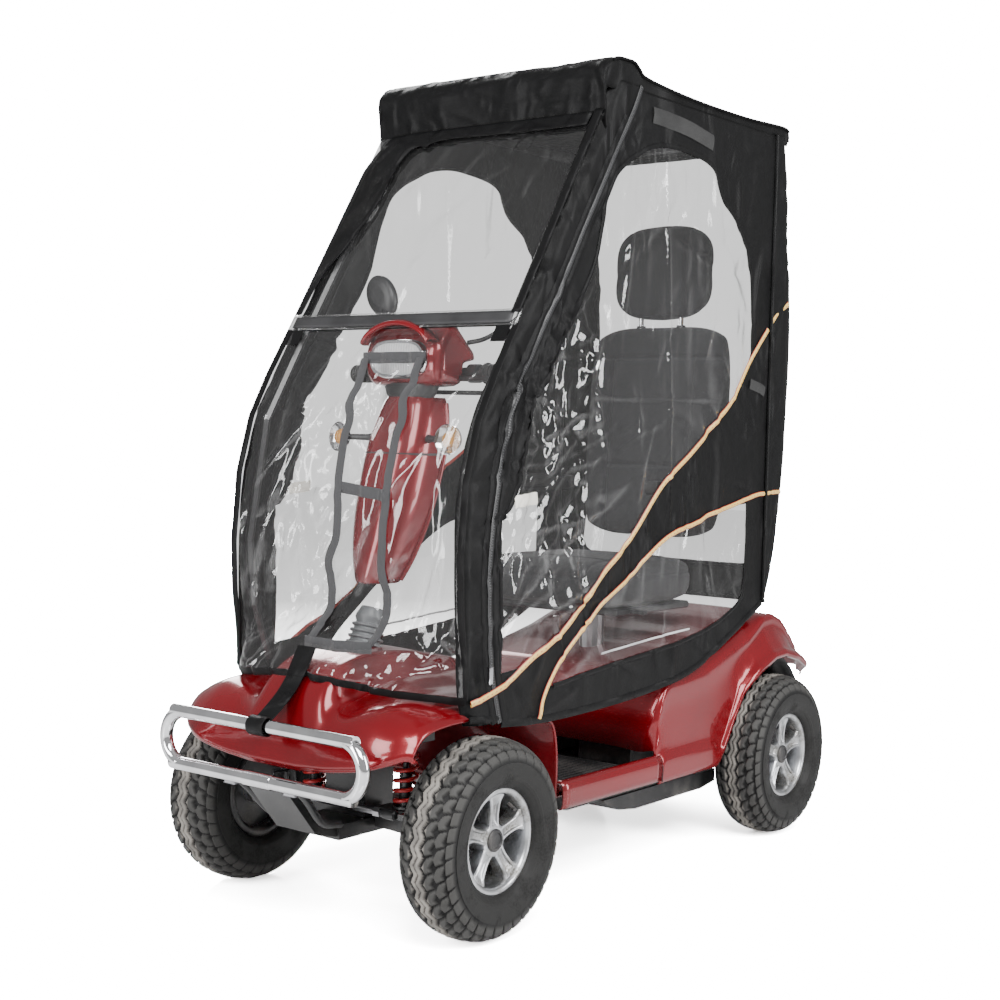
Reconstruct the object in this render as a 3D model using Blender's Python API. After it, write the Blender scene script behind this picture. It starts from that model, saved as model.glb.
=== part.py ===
"""Four-wheel mobility scooter with a weather canopy, as separate sub-parts.

Metres, +Z up. The front faces -Y and the rider's left is +X. The origin is on the ground,
at the middle of the vehicle's length and width.
"""

import math

import bmesh
import bpy
from mathutils import Matrix, Vector

# Wheels and axles
WHEEL_R = 0.165
TYRE_HALF_W = 0.0535
RIM_R = 0.0835
TRACK_X = 0.2685
FRONT_Y = -0.4585
REAR_Y = 0.5185
WHEEL_STEPS = 28
AXLE_R = 0.010
KINGPIN_X = 0.190
ARM_PIVOT_X = 0.062

# Whole vehicle
HALF_LENGTH = 0.7125
CANOPY_TOP = 1.488
CANOPY_X = 0.262
FILM = 0.004

# Steering column: its axis passes through STEER_FOOT and leans back
STEER_FOOT = Vector((0.0, -0.44, 0.50))
STEER_AXIS = Vector((0.0, 0.29, 0.957)).normalized()
TILT_PIVOT = STEER_FOOT + STEER_AXIS * 0.026

# Seat
POST_Y = 0.235
SEAT_HALF_W = 0.18
RECLINE = Vector((0.0, 0.43, 0.60))
ARM_HINGE = Vector((0.20, 0.42, 0.7175))
BACK_TOP_Z = 1.055

# Bumper
TUBE_R = 0.0125
STRAP_T = 0.004
BUMPER_Y = -(HALF_LENGTH - TUBE_R - STRAP_T)
BUMPER_TOP_Z = 0.342
BUMPER_LOW_Z = 0.254

DOOR_HINGE = Vector((0.2675, 0.4665, 0.90))
DOOR_SEAM_Y = 0.4712

FINISHES = {
    "black_steel": ((0.02, 0.02, 0.022), 0.45, 0.6),
    "chrome": ((0.80, 0.80, 0.82), 0.12, 1.0),
    "red_gloss": ((0.42, 0.015, 0.02), 0.12, 0.3),
    "tyre": ((0.05, 0.05, 0.05), 0.85, 0.0),
    "alloy": ((0.62, 0.62, 0.64), 0.3, 0.9),
    "steel": ((0.55, 0.55, 0.56), 0.3, 1.0),
    "red_steel": ((0.5, 0.02, 0.02), 0.3, 0.3),
    "black_plastic": ((0.025, 0.025, 0.027), 0.5, 0.0),
    "fabric": ((0.015, 0.015, 0.016), 0.8, 0.0),
    "film": ((0.85, 0.88, 0.9), 0.08, 0.0),
    "seat_fabric": ((0.04, 0.04, 0.045), 0.9, 0.0),
    "lens_clear": ((0.85, 0.87, 0.88), 0.08, 0.2),
    "lens_amber": ((0.9, 0.45, 0.05), 0.15, 0.0),
    "lens_red": ((0.6, 0.02, 0.02), 0.15, 0.0),
    "mirror": ((0.9, 0.9, 0.92), 0.02, 1.0),
}


def clear_scene():
    for obj in list(bpy.data.objects):
        bpy.data.objects.remove(obj, do_unlink=True)


def material(finish):
    found = bpy.data.materials.get(finish)
    if found:
        return found
    colour, roughness, metallic = FINISHES[finish]
    made = bpy.data.materials.new(finish)
    made.use_nodes = True
    shader = made.node_tree.nodes["Principled BSDF"]
    shader.inputs["Base Color"].default_value = (*colour, 1.0)
    shader.inputs["Roughness"].default_value = roughness
    shader.inputs["Metallic"].default_value = metallic
    made.diffuse_color = (*colour, 1.0)
    return made


def add(name, bm, finish, origin=(0, 0, 0)):
    """Turns a bmesh in world coordinates into an object whose origin is at the given point."""
    origin = Vector(origin)
    bmesh.ops.recalc_face_normals(bm, faces=bm.faces)
    bmesh.ops.translate(bm, verts=bm.verts, vec=-origin)
    mesh = bpy.data.meshes.new(name)
    bm.to_mesh(mesh)
    bm.free()
    mesh.materials.append(material(finish))
    mesh.shade_smooth()
    mesh.set_sharp_from_angle(angle=math.radians(32))
    obj = bpy.data.objects.new(name, mesh)
    obj.location = origin
    bpy.context.scene.collection.objects.link(obj)
    return obj


def combine(obj, tool, operation):
    """Adds the tool to the object, or cuts it away, and leaves the tool as a hidden helper."""
    step = obj.modifiers.new(operation.lower(), "BOOLEAN")
    step.operation = operation
    step.solver = "EXACT"
    step.object = tool
    tool.hide_render = True
    tool.display_type = "WIRE"
    tool.parent = obj
    tool.matrix_parent_inverse = Matrix.Translation(-obj.location)
    return obj


def rings(bm, loops, closed_around=False):
    """Skins loops of equal length. Ends are capped, unless the last loop meets the first."""
    made = [[bm.verts.new(p) for p in loop] for loop in loops]
    pairs = list(zip(made, made[1:]))
    if closed_around:
        pairs.append((made[-1], made[0]))
    for first, second in pairs:
        count = len(first)
        for i in range(count):
            j = (i + 1) % count
            bm.faces.new((first[i], first[j], second[j], second[i]))
    if not closed_around:
        bm.faces.new(made[0])
        bm.faces.new(made[-1])
    return bm


def loft(name, loops, finish, origin=(0, 0, 0)):
    return add(name, rings(bmesh.new(), loops), finish, origin)


def box(name, low, high, finish, origin=(0, 0, 0), bevel=0.0):
    bm = bmesh.new()
    bmesh.ops.create_cube(bm, size=1.0)
    low, high = Vector(low), Vector(high)
    for vert in bm.verts:
        vert.co = Vector([(a + b) / 2 + c * (b - a) for a, b, c in zip(low, high, vert.co)])
    if bevel:
        bmesh.ops.bevel(bm, geom=bm.edges[:], offset=bevel, segments=1, affect="EDGES")
    return add(name, bm, finish, origin)


def profile_yz(name, outline, half_width, finish, origin=(0, 0, 0), centre_x=0.0):
    """Extrudes an outline of (y, z) points across X."""
    loops = [[(centre_x + s * half_width, y, z) for y, z in outline] for s in (-1, 1)]
    return loft(name, loops, finish, origin)


def circle(centre, along, radius, steps, turn=0.0):
    """Points of a circle about a centre, in the plane across a direction."""
    along = Vector(along).normalized()
    side = Vector((0, 0, 1)) if abs(along.z) < 0.9 else Vector((0, 1, 0))
    u = side.cross(along).normalized()
    v = along.cross(u)
    angles = [turn + 2 * math.pi * i / steps for i in range(steps)]
    return [Vector(centre) + u * radius * math.cos(a) + v * radius * math.sin(a) for a in angles]


def rod(name, start, end, radius, finish, origin=(0, 0, 0), steps=12):
    along = Vector(end) - Vector(start)
    loops = [circle(start, along, radius, steps), circle(end, along, radius, steps)]
    return loft(name, loops, finish, origin)


def turned(name, profile, centre, along, finish, origin=(0, 0, 0), steps=16):
    """A solid of revolution: (distance along the axis, radius) pairs, capped at both ends."""
    along = Vector(along).normalized()
    loops = [circle(Vector(centre) + along * d, along, r, steps) for d, r in profile]
    return loft(name, loops, finish, origin)


def tube(name, path, radius, finish, closed=False, steps=8, origin=(0, 0, 0)):
    path = [Vector(p) for p in path]
    count = len(path)
    loops = []
    normal = None
    for i, point in enumerate(path):
        before = path[(i - 1) % count] if closed or i else point
        after = path[(i + 1) % count] if closed or i < count - 1 else point
        along = (after - before).normalized()
        if normal is None:
            side = Vector((0, 1, 0)) if abs(along.y) < 0.9 else Vector((0, 0, 1))
            normal = side.cross(along).normalized()
        normal = (normal - along * normal.dot(along)).normalized()
        other = along.cross(normal)
        angles = [2 * math.pi * k / steps for k in range(steps)]
        loops.append([point + (normal * math.cos(a) + other * math.sin(a)) * radius for a in angles])
    return add(name, rings(bmesh.new(), loops, closed), finish, origin)


def sheet(name, rows, thickness, finish, origin=(0, 0, 0), hole=()):
    """A grid of points as a sheet of even thickness, which grows towards the rows' underside."""
    bm = bmesh.new()
    grid = [[bm.verts.new(p) for p in row] for row in rows]
    for i in range(len(grid) - 1):
        for j in range(len(grid[0]) - 1):
            if (i, j) not in hole:
                bm.faces.new((grid[i][j], grid[i][j + 1], grid[i + 1][j + 1], grid[i + 1][j]))
    loose = [v for v in bm.verts if not v.link_faces]
    bmesh.ops.delete(bm, geom=loose, context="VERTS")
    obj = add(name, bm, finish, origin)
    wall = obj.modifiers.new("wall", "SOLIDIFY")
    wall.thickness = thickness
    wall.offset = -1.0
    return obj


def between(table, at):
    """Reads a value from (key, value) pairs, in a straight line between neighbours."""
    if at <= table[0][0]:
        return table[0][1]
    for (a, low), (b, high) in zip(table, table[1:]):
        if at <= b:
            return low + (high - low) * (at - a) / (b - a)
    return table[-1][1]


def on_column(height):
    """The point of the steering axis at a height above the ground."""
    return STEER_FOOT + STEER_AXIS * ((height - STEER_FOOT.z) / STEER_AXIS.z)


def sides():
    return (("left", 1), ("right", -1))


# ---------------------------------------------------------------- frame and running gear


def chassis():
    plan = [(-0.05, -0.56), (0.05, -0.56), (0.05, -0.20), (0.20, -0.12), (0.20, 0.33), (0.08, 0.40),
            (0.08, 0.47), (-0.08, 0.47), (-0.08, 0.40), (-0.20, 0.33), (-0.20, -0.12), (-0.05, -0.20)]
    frame = loft("chassis_frame", [[(x, y, z) for x, y in plan] for z in (0.140, 0.165)], "black_steel")
    skin_under = 0.161
    pockets = (
        ((-0.044, -0.554), (0.044, -0.206)),
        ((0.006, -0.114), (0.194, 0.324)),
        ((-0.194, -0.114), (-0.006, 0.324)),
    )
    for k, (low, high) in enumerate(pockets):
        pocket = box(f"frame_pocket_{k}", (*low, 0.120), (*high, skin_under), "black_steel")
        combine(frame, pocket, "DIFFERENCE")
    horn = [(-0.54, 0.141), (-0.54, 0.164), (-0.60, 0.180), (-0.6822, 0.260), (-0.6822, 0.243), (-0.61, 0.158)]
    combine(frame, profile_yz("bumper_horn", horn, 0.045, "black_steel"), "UNION")
    stem, wing, low, mid, high = 0.045, 0.135, 0.1656, 0.300, 0.318
    tower = [(-stem, low), (stem, low), (stem, mid), (wing, mid),
             (wing, high), (-wing, high), (-wing, mid), (-stem, mid)]
    loft("front_subframe", [[(x, y, z) for x, z in tower] for y in (-0.495, -0.422)], "black_steel")
    tray = [(-0.01, 0.1394), (-0.005, 0.134), (0.04, 0.114), (0.10, 0.106),
            (0.345, 0.106), (0.40, 0.114), (0.40, 0.1394)]
    profile_yz("battery_tray", tray, 0.205, "black_plastic")
    box("battery_pack", (0.035, 0.145, 0.1656), (0.165, 0.325, 0.335), "black_plastic", bevel=0.004)
    box("controller", (-0.165, 0.14, 0.1656), (-0.05, 0.32, 0.235), "black_plastic", bevel=0.004)
    case = box("transaxle", (-0.06, 0.4706, 0.115), (0.06, 0.565, 0.215), "black_steel", bevel=0.012)
    for side, s in sides():
        reach = [(0.05, 0.024), (0.205, 0.024), (0.2052, AXLE_R), (0.286, AXLE_R)]
        half = turned(f"axle_{side}", reach, (0, REAR_Y, WHEEL_R), (s, 0, 0), "steel", steps=12)
        combine(case, half, "UNION")
    turned("motor", [(0.0, 0.040), (0.085, 0.040), (0.095, 0.03)], (0.0, 0.5656, 0.165), (0, 1, 0), "black_steel")


def bumper():
    half = (BUMPER_TOP_Z - BUMPER_LOW_Z) / 2
    middle = (BUMPER_TOP_Z + BUMPER_LOW_Z) / 2
    reach = 0.236 - TUBE_R - half
    path = []
    for s, start in ((1, -90), (-1, 90)):
        for k in range(7):
            a = math.radians(start + 30 * k)
            path.append((s * reach + half * math.cos(a), BUMPER_Y, middle + half * math.sin(a)))
    tube("front_bumper", path, TUBE_R, "chrome", closed=True)


def wheel(end, side, s, y):
    centre = Vector((s * TRACK_X, y, WHEEL_R))
    flat = 1 / math.cos(math.pi / WHEEL_STEPS)
    turn = math.pi / WHEEL_STEPS
    section = [(-0.034, 0.0865), (-0.048, 0.100), (-TYRE_HALF_W, 0.122), (-0.050, 0.145), (-0.038, 0.158),
               (-0.020, WHEEL_R), (0.020, WHEEL_R), (0.038, 0.158), (0.050, 0.145), (TYRE_HALF_W, 0.122),
               (0.048, 0.100), (0.034, 0.0865)]
    loops = [circle(centre + Vector((s * d, 0, 0)), (1, 0, 0), r * flat, WHEEL_STEPS, turn) for d, r in section]
    add(f"tyre_{end}_{side}", rings(bmesh.new(), loops, closed_around=True), "tyre", centre)
    rim = [(-0.036, 0.070), (-0.036, RIM_R), (0.038, RIM_R), (0.038, 0.074), (0.026, 0.068), (0.030, 0.028),
           (0.034, 0.020), (0.034, 0.001), (0.0185, 0.001), (0.0185, 0.0108), (-0.028, 0.0108), (-0.028, 0.026),
           (0.006, 0.030), (0.010, 0.066)]
    loops = [circle(centre + Vector((s * d, 0, 0)), (1, 0, 0), r, WHEEL_STEPS, turn) for d, r in rim]
    add(f"rim_{end}_{side}", rings(bmesh.new(), loops, closed_around=True), "alloy", centre)


def front_corner(side, s):
    pivot = Vector((s * ARM_PIVOT_X, FRONT_Y, 0.1675))
    outline = [(0.0545, 0.150), (0.172, 0.146), (0.172, 0.186), (0.0545, 0.184)]
    loops = [[(s * x, y, z) for x, z in outline] for y in (FRONT_Y - 0.019, FRONT_Y + 0.019)]
    loft(f"arm_{side}", loops, "black_steel", pivot)
    spring_foot = (s * 0.105, FRONT_Y, 0.1872)
    turned(f"spring_{side}", [(0.0, 0.022), (0.1122, 0.022)], spring_foot, (0, 0, 1), "red_steel", steps=14)
    kingpin = Vector((s * KINGPIN_X, FRONT_Y, WHEEL_R))
    barrel = [(-0.030, 0.0145), (0.040, 0.0145)]
    upright = turned(f"knuckle_{side}", barrel, kingpin, (0, 0, 1), "black_steel", kingpin)
    stub = turned(f"stub_{side}", [(0.0, 0.0136), (0.040, 0.0136), (0.0402, AXLE_R), (0.095, AXLE_R)],
                  kingpin, (s, 0, 0), "steel", steps=12)
    combine(upright, stub, "UNION")
    lever = [(0.194, FRONT_Y), (0.178, -0.532), (0.156, -0.536), (0.154, -0.522), (0.181, FRONT_Y)]
    loops = [[(s * x, y, z) for x, y in lever] for z in (0.187, 0.197)]
    combine(upright, loft(f"steering_lever_{side}", loops, "black_steel"), "UNION")


def tie_rod():
    reach = [(-0.1475, 0.009), (-0.115, 0.009), (-0.1148, 0.006), (0.1148, 0.006), (0.115, 0.009), (0.1475, 0.009)]
    turned("tie_rod", reach, (0, -0.529, 0.192), (1, 0, 0), "steel", (0, -0.529, 0.192), steps=10)


# ---------------------------------------------------------------- body panels

COWL_LINES = (
    # |x|, then (y, z) from the nose to the top's rear edge
    (0.00, ((-0.668, 0.283), (-0.650, 0.335), (-0.622, 0.392), (-0.590, 0.430), (-0.505, 0.450),
            (-0.415, 0.446), (-0.310, 0.425))),
    (0.045, ((-0.668, 0.283), (-0.650, 0.333), (-0.624, 0.388), (-0.594, 0.424), (-0.505, 0.445),
             (-0.415, 0.442), (-0.310, 0.423))),
    (0.100, ((-0.667, 0.287), (-0.652, 0.330), (-0.628, 0.364), (-0.596, 0.380), (-0.505, 0.398),
             (-0.415, 0.406), (-0.310, 0.405))),
    (0.190, ((-0.663, 0.300), (-0.646, 0.338), (-0.622, 0.366), (-0.588, 0.384), (-0.505, 0.390),
             (-0.415, 0.388), (-0.310, 0.380))),
    (0.235, ((-0.640, 0.318), (-0.626, 0.340), (-0.604, 0.358), (-0.570, 0.370), (-0.505, 0.374),
             (-0.415, 0.374), (-0.310, 0.366))),
    (0.254, ((-0.622, 0.322), (-0.610, 0.338), (-0.590, 0.351), (-0.560, 0.360), (-0.505, 0.363),
             (-0.415, 0.363), (-0.310, 0.352))),
)
FOOTWELL_Y = -0.2376
FLOOR_TOP = 0.185


def cowl():
    lines = [(s * x, line) for s in (-1,) for x, line in reversed(COWL_LINES[1:])]
    lines += [(x, line) for x, line in COWL_LINES]
    rows = []
    for x, line in lines:
        points = [(x, y, z) for y, z in line]
        points += [(x, FOOTWELL_Y - 0.022, 0.31), (x, FOOTWELL_Y, 0.24), (x, FOOTWELL_Y, 0.19)]
        rows.append(points)
    middle = len(COWL_LINES) - 1
    hole = {(middle - 1, 4), (middle, 4)}
    sheet("front_cowl", rows, 0.004, "red_gloss", hole=hole)


def floor_pan():
    front, rear, wide, lip = -0.2358, 0.085, 0.270, 0.252
    shape = [(-wide, 0.168), (wide, 0.168), (wide, 0.214), (0.262, 0.218), (lip, 0.214), (0.240, FLOOR_TOP),
             (-0.240, FLOOR_TOP), (-lip, 0.214), (-0.262, 0.218), (-wide, 0.214)]
    loft("floor_pan", [[(x, y, z) for x, z in shape] for y in (front, rear)], "red_gloss")


SHROUD_TOP = ((0.090, 0.240), (0.100, 0.310), (0.130, 0.362), (0.230, 0.392), (0.340, 0.415), (0.400, 0.434),
              (0.470, 0.452), (0.540, 0.462), (0.610, 0.455), (0.660, 0.425), (0.695, 0.375), (0.7125, 0.320))
SHROUD_EDGE = ((0.090, 0.168), (0.335, 0.168), (0.342, 0.250), (0.372, 0.352), (0.430, 0.412), (0.530, 0.428),
               (0.620, 0.400), (0.680, 0.345), (0.7125, 0.300))
SHROUD_Y = (0.090, 0.100, 0.130, 0.200, 0.270, 0.335, 0.344, 0.372, 0.430, 0.470, 0.530, 0.590, 0.640, 0.685, 0.7125)


def shroud():
    rows = []
    for y in SHROUD_Y:
        top = between(SHROUD_TOP, y)
        edge = between(SHROUD_EDGE, y)
        wide = between(((0.09, 0.270), (0.60, 0.270), (0.7125, 0.240)), y)
        ring = []
        for s, part in ((-1, (1.0, 0.985, 0.94, 0.80)), (1, (0.80, 0.94, 0.985, 1.0))):
            for fraction in part:
                rise = top - edge
                drop = {1.0: edge, 0.985: edge + rise * 0.5, 0.94: edge + rise * 0.82, 0.80: top - 0.006}
                ring.append((s * wide * fraction, y, drop[fraction]))
            if s < 0:
                ring += [(-0.035, y, top), (0.035, y, top)]
        rows.append(ring)
    hole = {(3, 4)}
    sheet("rear_shroud", [list(reversed(r)) for r in rows], 0.004, "red_gloss", hole=hole)


def tail_light():
    rear = [(0.7030, 0.384), (0.7120, 0.380), (0.7124, 0.362), (0.7075, 0.362)]
    profile_yz("tail_light", rear, 0.10, "lens_red")


def strap():
    """Webbing from the curtain's hem down to the bumper's top bar, and round it."""
    centre = (BUMPER_Y, BUMPER_TOP_Z)
    inner, outer = TUBE_R + 0.0014, TUBE_R + STRAP_T
    outline = [(-0.6162, 0.4190)]
    angles = [math.radians(55 + 30 * k) for k in range(11)]
    outline += [(centre[0] + outer * math.cos(a), centre[1] + outer * math.sin(a)) for a in angles]
    outline += [(centre[0] + inner * math.cos(a), centre[1] + inner * math.sin(a)) for a in reversed(angles)]
    outline += [(-0.6160, 0.4150)]
    profile_yz("bumper_strap", outline, 0.019, "fabric")


# ---------------------------------------------------------------- canopy

FRONT_EDGE = ((-0.486, 0.352), (-0.510, 0.440), (-0.518, 0.617), (-0.481, 0.839), (-0.396, 0.987), (-0.383, 1.003),
              (-0.149, 1.3845), (-0.1372, 1.3848), (-0.1385, 1.427), (-0.122, 1.4465))
ZIP_LINE = ((-0.405, 0.345), (-0.430, 0.440), (-0.440, 0.617), (-0.405, 0.770), (-0.320, 0.910), (-0.255, 1.003),
            (-0.066, 1.385), (-0.040, 1.446))
SKIRT = ((-0.402, 0.345), (-0.296, 0.336), (-0.116, 0.339), (0.050, 0.350), (0.229, 0.388), (0.350, 0.430),
         (0.4685, 0.484))
REAR_EDGE = ((0.486, 0.486), (0.521, 0.570), (0.554, 0.800), (0.562, 1.010), (0.540, 1.250), (0.512, 1.444))


def panel(name, outline, s, finish, origin=(0, 0, 0)):
    """A flat side panel from an outline of (y, z) points."""
    loops = [[(s * x, y, z) for y, z in outline] for x in (CANOPY_X, CANOPY_X + FILM)]
    return loft(name, loops, finish, origin)


def canopy_sides():
    for side, s in sides():
        panel(f"pillar_{side}", list(FRONT_EDGE) + list(reversed(ZIP_LINE)), s, "fabric")
        seam = [(y + 0.003, z) for y, z in ZIP_LINE]
        door = list(SKIRT) + [(0.4685, 1.446)] + list(reversed(seam[1:]))
        panel(f"door_{side}", door, s, "film", (s * DOOR_HINGE.x, DOOR_HINGE.y, DOOR_HINGE.z))


def canopy_front():
    inner = CANOPY_X - 0.001
    hem = {
        1.0: (-0.498, 0.384),
        0.7: (-0.570, 0.398),
        0.38: (-0.603, 0.408),
        0.15: (-0.612, 0.415),
        0.0: (-0.613, 0.416),
    }
    rows = []
    for fraction in (-1.0, -0.7, -0.38, -0.15, 0.0, 0.15, 0.38, 0.7, 1.0):
        y, z = hem[abs(fraction)]
        above = (y + 0.030, z + 0.05) if abs(fraction) < 0.8 else (-0.506, 0.450)
        line = [(y, z), above, (-0.518, 0.617), (-0.481, 0.839), (-0.396, 0.987), (-0.386, 0.999)]
        rows.append([(inner * fraction, b, c) for b, c in line])
    sheet("front_curtain", rows, 0.003, "film")
    glass = [(-0.384, 1.0015), (-0.1505, 1.383), (-0.147, 1.381), (-0.3805, 1.0)]
    profile_yz("windscreen", glass, inner, "film")


def canopy_roof():
    outline = [(-0.150, 1.3855), (-0.158, 1.452), (-0.128, 1.484), (-0.070, CANOPY_TOP),
               (-0.044, 1.470), (0.07, 1.457), (0.345, 1.458), (0.495, 1.464), (0.519, 1.456), (0.519, 1.4475), (0.345, 1.4475), (-0.040, 1.4475),
               (-0.075, 1.456), (-0.120, 1.452), (-0.140, 1.428), (-0.1385, 1.3855)]
    profile_yz("canopy_roof", outline, CANOPY_X + FILM, "fabric")


def canopy_rear():
    """The rear wall and the two strips that lead forward to the door seams, as one bent sheet."""
    rows = []
    wide = CANOPY_X + FILM
    for y, z in REAR_EDGE:
        bend = [(1.0, DOOR_SEAM_Y), (1.0, y - 0.010), (0.97, y), (0.5, y + 0.004), (0.0, y + 0.005)]
        row = [(wide * f, b, z) for f, b in bend] + [(-wide * f, b, z) for f, b in reversed(bend[:-1])]
        rows.append(row)
    sheet("canopy_rear", rows, FILM, "fabric")


def hoops():
    inner = 0.248
    side_line = [(-0.440, 0.400), (-0.478, 0.500), (-0.492, 0.617), (-0.456, 0.832), (-0.372, 0.975), (-0.128, 1.372)]
    front = [(inner, y, z) for y, z in side_line] + [(0.215, -0.105, 1.405)]
    tube("hoop_front", front + [(-x, y, z) for x, y, z in reversed(front)], 0.008, "black_steel", steps=6)
    rear = [(inner, 0.452, 0.474), (inner, 0.452, 1.40), (0.215, 0.452, 1.432)]
    tube("hoop_rear", rear + [(-x, y, z) for x, y, z in reversed(rear)], 0.008, "black_steel", steps=6)


# ---------------------------------------------------------------- steering and controls


def column_section(height, half_width, front, back):
    """Eight points across the column at a height, with its front and back faces at given y."""
    return [(half_width, front + (back - front) * 0.45, height), (half_width * 0.95, back, height),
            (-half_width * 0.95, back, height), (-half_width, front + (back - front) * 0.45, height),
            (-half_width * 0.66, front + 0.010, height), (0.0, front, height),
            (half_width * 0.66, front + 0.010, height)]


def steering():
    foot = on_column(0.335)
    stem = [(0.0, 0.015), (0.122, 0.015), (0.1222, 0.034), (0.140, 0.032),
            (0.155, 0.026), (0.172, 0.026), (0.186, 0.019)]
    turned("steering_stem", stem, foot, STEER_AXIS, "black_plastic", STEER_FOOT, steps=14)
    sections = [(0.555, 0.030, -0.468, -0.400), (0.600, 0.048, -0.464, -0.385), (0.700, 0.064, -0.442, -0.350),
                (0.800, 0.064, -0.414, -0.322), (0.862, 0.054, -0.392, -0.310), (0.880, 0.046, -0.380, -0.306)]
    loft("tiller_cover", [column_section(*s) for s in sections], "red_gloss", TILT_PIVOT)
    head = [(-0.366, 0.897), (-0.372, 0.965), (-0.345, 1.003), (-0.325, 1.008), (-0.268, 0.958), (-0.270, 0.945),
            (-0.305, 0.940), (-0.305, 0.897)]
    profile_yz("tiller_head", head, 0.082, "red_gloss", TILT_PIVOT)
    lamp = [(0.0, 0.044), (0.010, 0.044), (0.016, 0.036)]
    bm = bmesh.new()
    loops = []
    for depth, half in lamp:
        angles = [2 * math.pi * k / 14 for k in range(14)]
        loops.append([(half * 1.2 * math.cos(a), -0.3735 - depth, 0.937 + half * 0.62 * math.sin(a)) for a in angles])
    add("headlight", rings(bm, loops), "lens_clear", TILT_PIVOT)
    bar = [(-0.190, 0.0165), (-0.124, 0.0165), (-0.1238, 0.011), (0.1238, 0.011), (0.124, 0.0165), (0.190, 0.0165)]
    turned("handlebar", bar, (0, -0.287, 0.922), (1, 0, 0), "black_plastic", TILT_PIVOT, steps=12)
    for side, s in sides():
        shape = [(0.0, 0.006), (0.046, 0.006), (0.0462, 0.020), (0.074, 0.020), (0.080, 0.012)]
        start = Vector((s * 0.0665, -0.375, 0.806))
        turned(f"indicator_{side}", shape, start, (s * 0.94, -0.34, 0), "lens_amber", TILT_PIVOT, steps=12)
        mirror(side, s)


def mirror(side, s):
    """A stalk from the console's flank, with an oval head turned to the rider."""
    foot = Vector((s * 0.0865, -0.300, 0.975))
    centre = foot + Vector((s * 0.098, 0.074, 0.088))
    path = [foot, foot + Vector((s * 0.030, 0.015, 0.012)), foot + Vector((s * 0.070, 0.055, 0.055)), centre]
    stalk = tube(f"mirror_{side}", path, 0.0045, "black_plastic", steps=6, origin=foot)
    loops = []
    angles = [2 * math.pi * k / 12 for k in range(12)]
    for depth, scale in ((-0.010, 0.6), (-0.004, 1.0), (0.008, 1.0)):
        wide, high = 0.040 * scale, 0.030 * scale
        loops.append([centre + Vector((wide * math.cos(a), depth, high * math.sin(a))) for a in angles])
    combine(stalk, loft(f"mirror_head_{side}", loops, "mirror"), "UNION")


def controls():
    up = Vector((0, 0.66, 0.751)).normalized()
    face = Vector((0, -0.2965, 0.983)) + up * 0.0008
    knob = [(0.0, 0.013), (0.012, 0.012), (0.013, 0.010)]
    turned("speed_knob", knob, face, up, "black_plastic", face, steps=12)
    key_at = face + Vector((0.045, 0, 0))
    lock = turned("ignition_key", [(0.0, 0.008), (0.006, 0.008)], key_at, up, "steel", key_at, steps=10)
    across = Vector((1, 0, 0))
    down = up.cross(across)
    corners = [(-0.0012, -0.009), (0.0012, -0.009), (0.0012, 0.009), (-0.0012, 0.009)]
    loops = []
    for height, taper in ((0.004, 0.5), (0.022, 1.0)):
        loops.append([key_at + up * height + across * a + down * b * taper for a, b in corners])
    combine(lock, loft("key_blade", loops, "steel"), "UNION")
    horn_at = face + Vector((-0.045, 0, 0)) + up * 0.0022
    turned("horn_button", [(0.0, 0.009), (0.005, 0.009)], horn_at, up, "black_plastic", horn_at, steps=12)
    pivot = Vector((0, -0.296, 0.8885))
    paddle = [(0.012, -0.308), (0.105, -0.276), (0.112, -0.250), (0.095, -0.246), (0.0, -0.272), (-0.095, -0.246),
              (-0.112, -0.250), (-0.105, -0.276), (-0.012, -0.308)]
    loft("throttle_lever", [[(x, y, z) for x, y in paddle] for z in (0.8850, 0.8925)], "black_plastic", pivot)
    hinge = Vector((0.092, -0.318, 0.912))
    blade = [(0.0855, -0.322), (0.0855, -0.3125), (0.100, -0.3125), (0.182, -0.326), (0.182, -0.334), (0.100, -0.322)]
    loft("brake_lever", [[(x, y, z) for x, y in blade] for z in (0.907, 0.917)], "black_plastic", hinge)


# ---------------------------------------------------------------- seat


def pad(low, high, inset, finish, name, origin, lean=0.0):
    """A cushion block with softened edges. Lean is how far its top stands back."""
    (x0, y0, z0), (x1, y1, z1) = low, high
    cuts = ((0.0, inset), (0.16, 0.0), (0.84, 0.0), (1.0, inset))
    loops = []
    for up, shrink in cuts:
        z = z0 + (z1 - z0) * up
        back = lean * up
        x, near, far, c = x1 - shrink, y0 + shrink + back, y1 - shrink + back, inset
        loops.append([(x, near + c, z), (x, far - c, z), (x - c, far, z), (-x + c, far, z), (-x, far - c, z),
                      (-x, near + c, z), (-x + c, near, z), (x - c, near, z)])
    return loft(name, loops, finish, origin)


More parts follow.
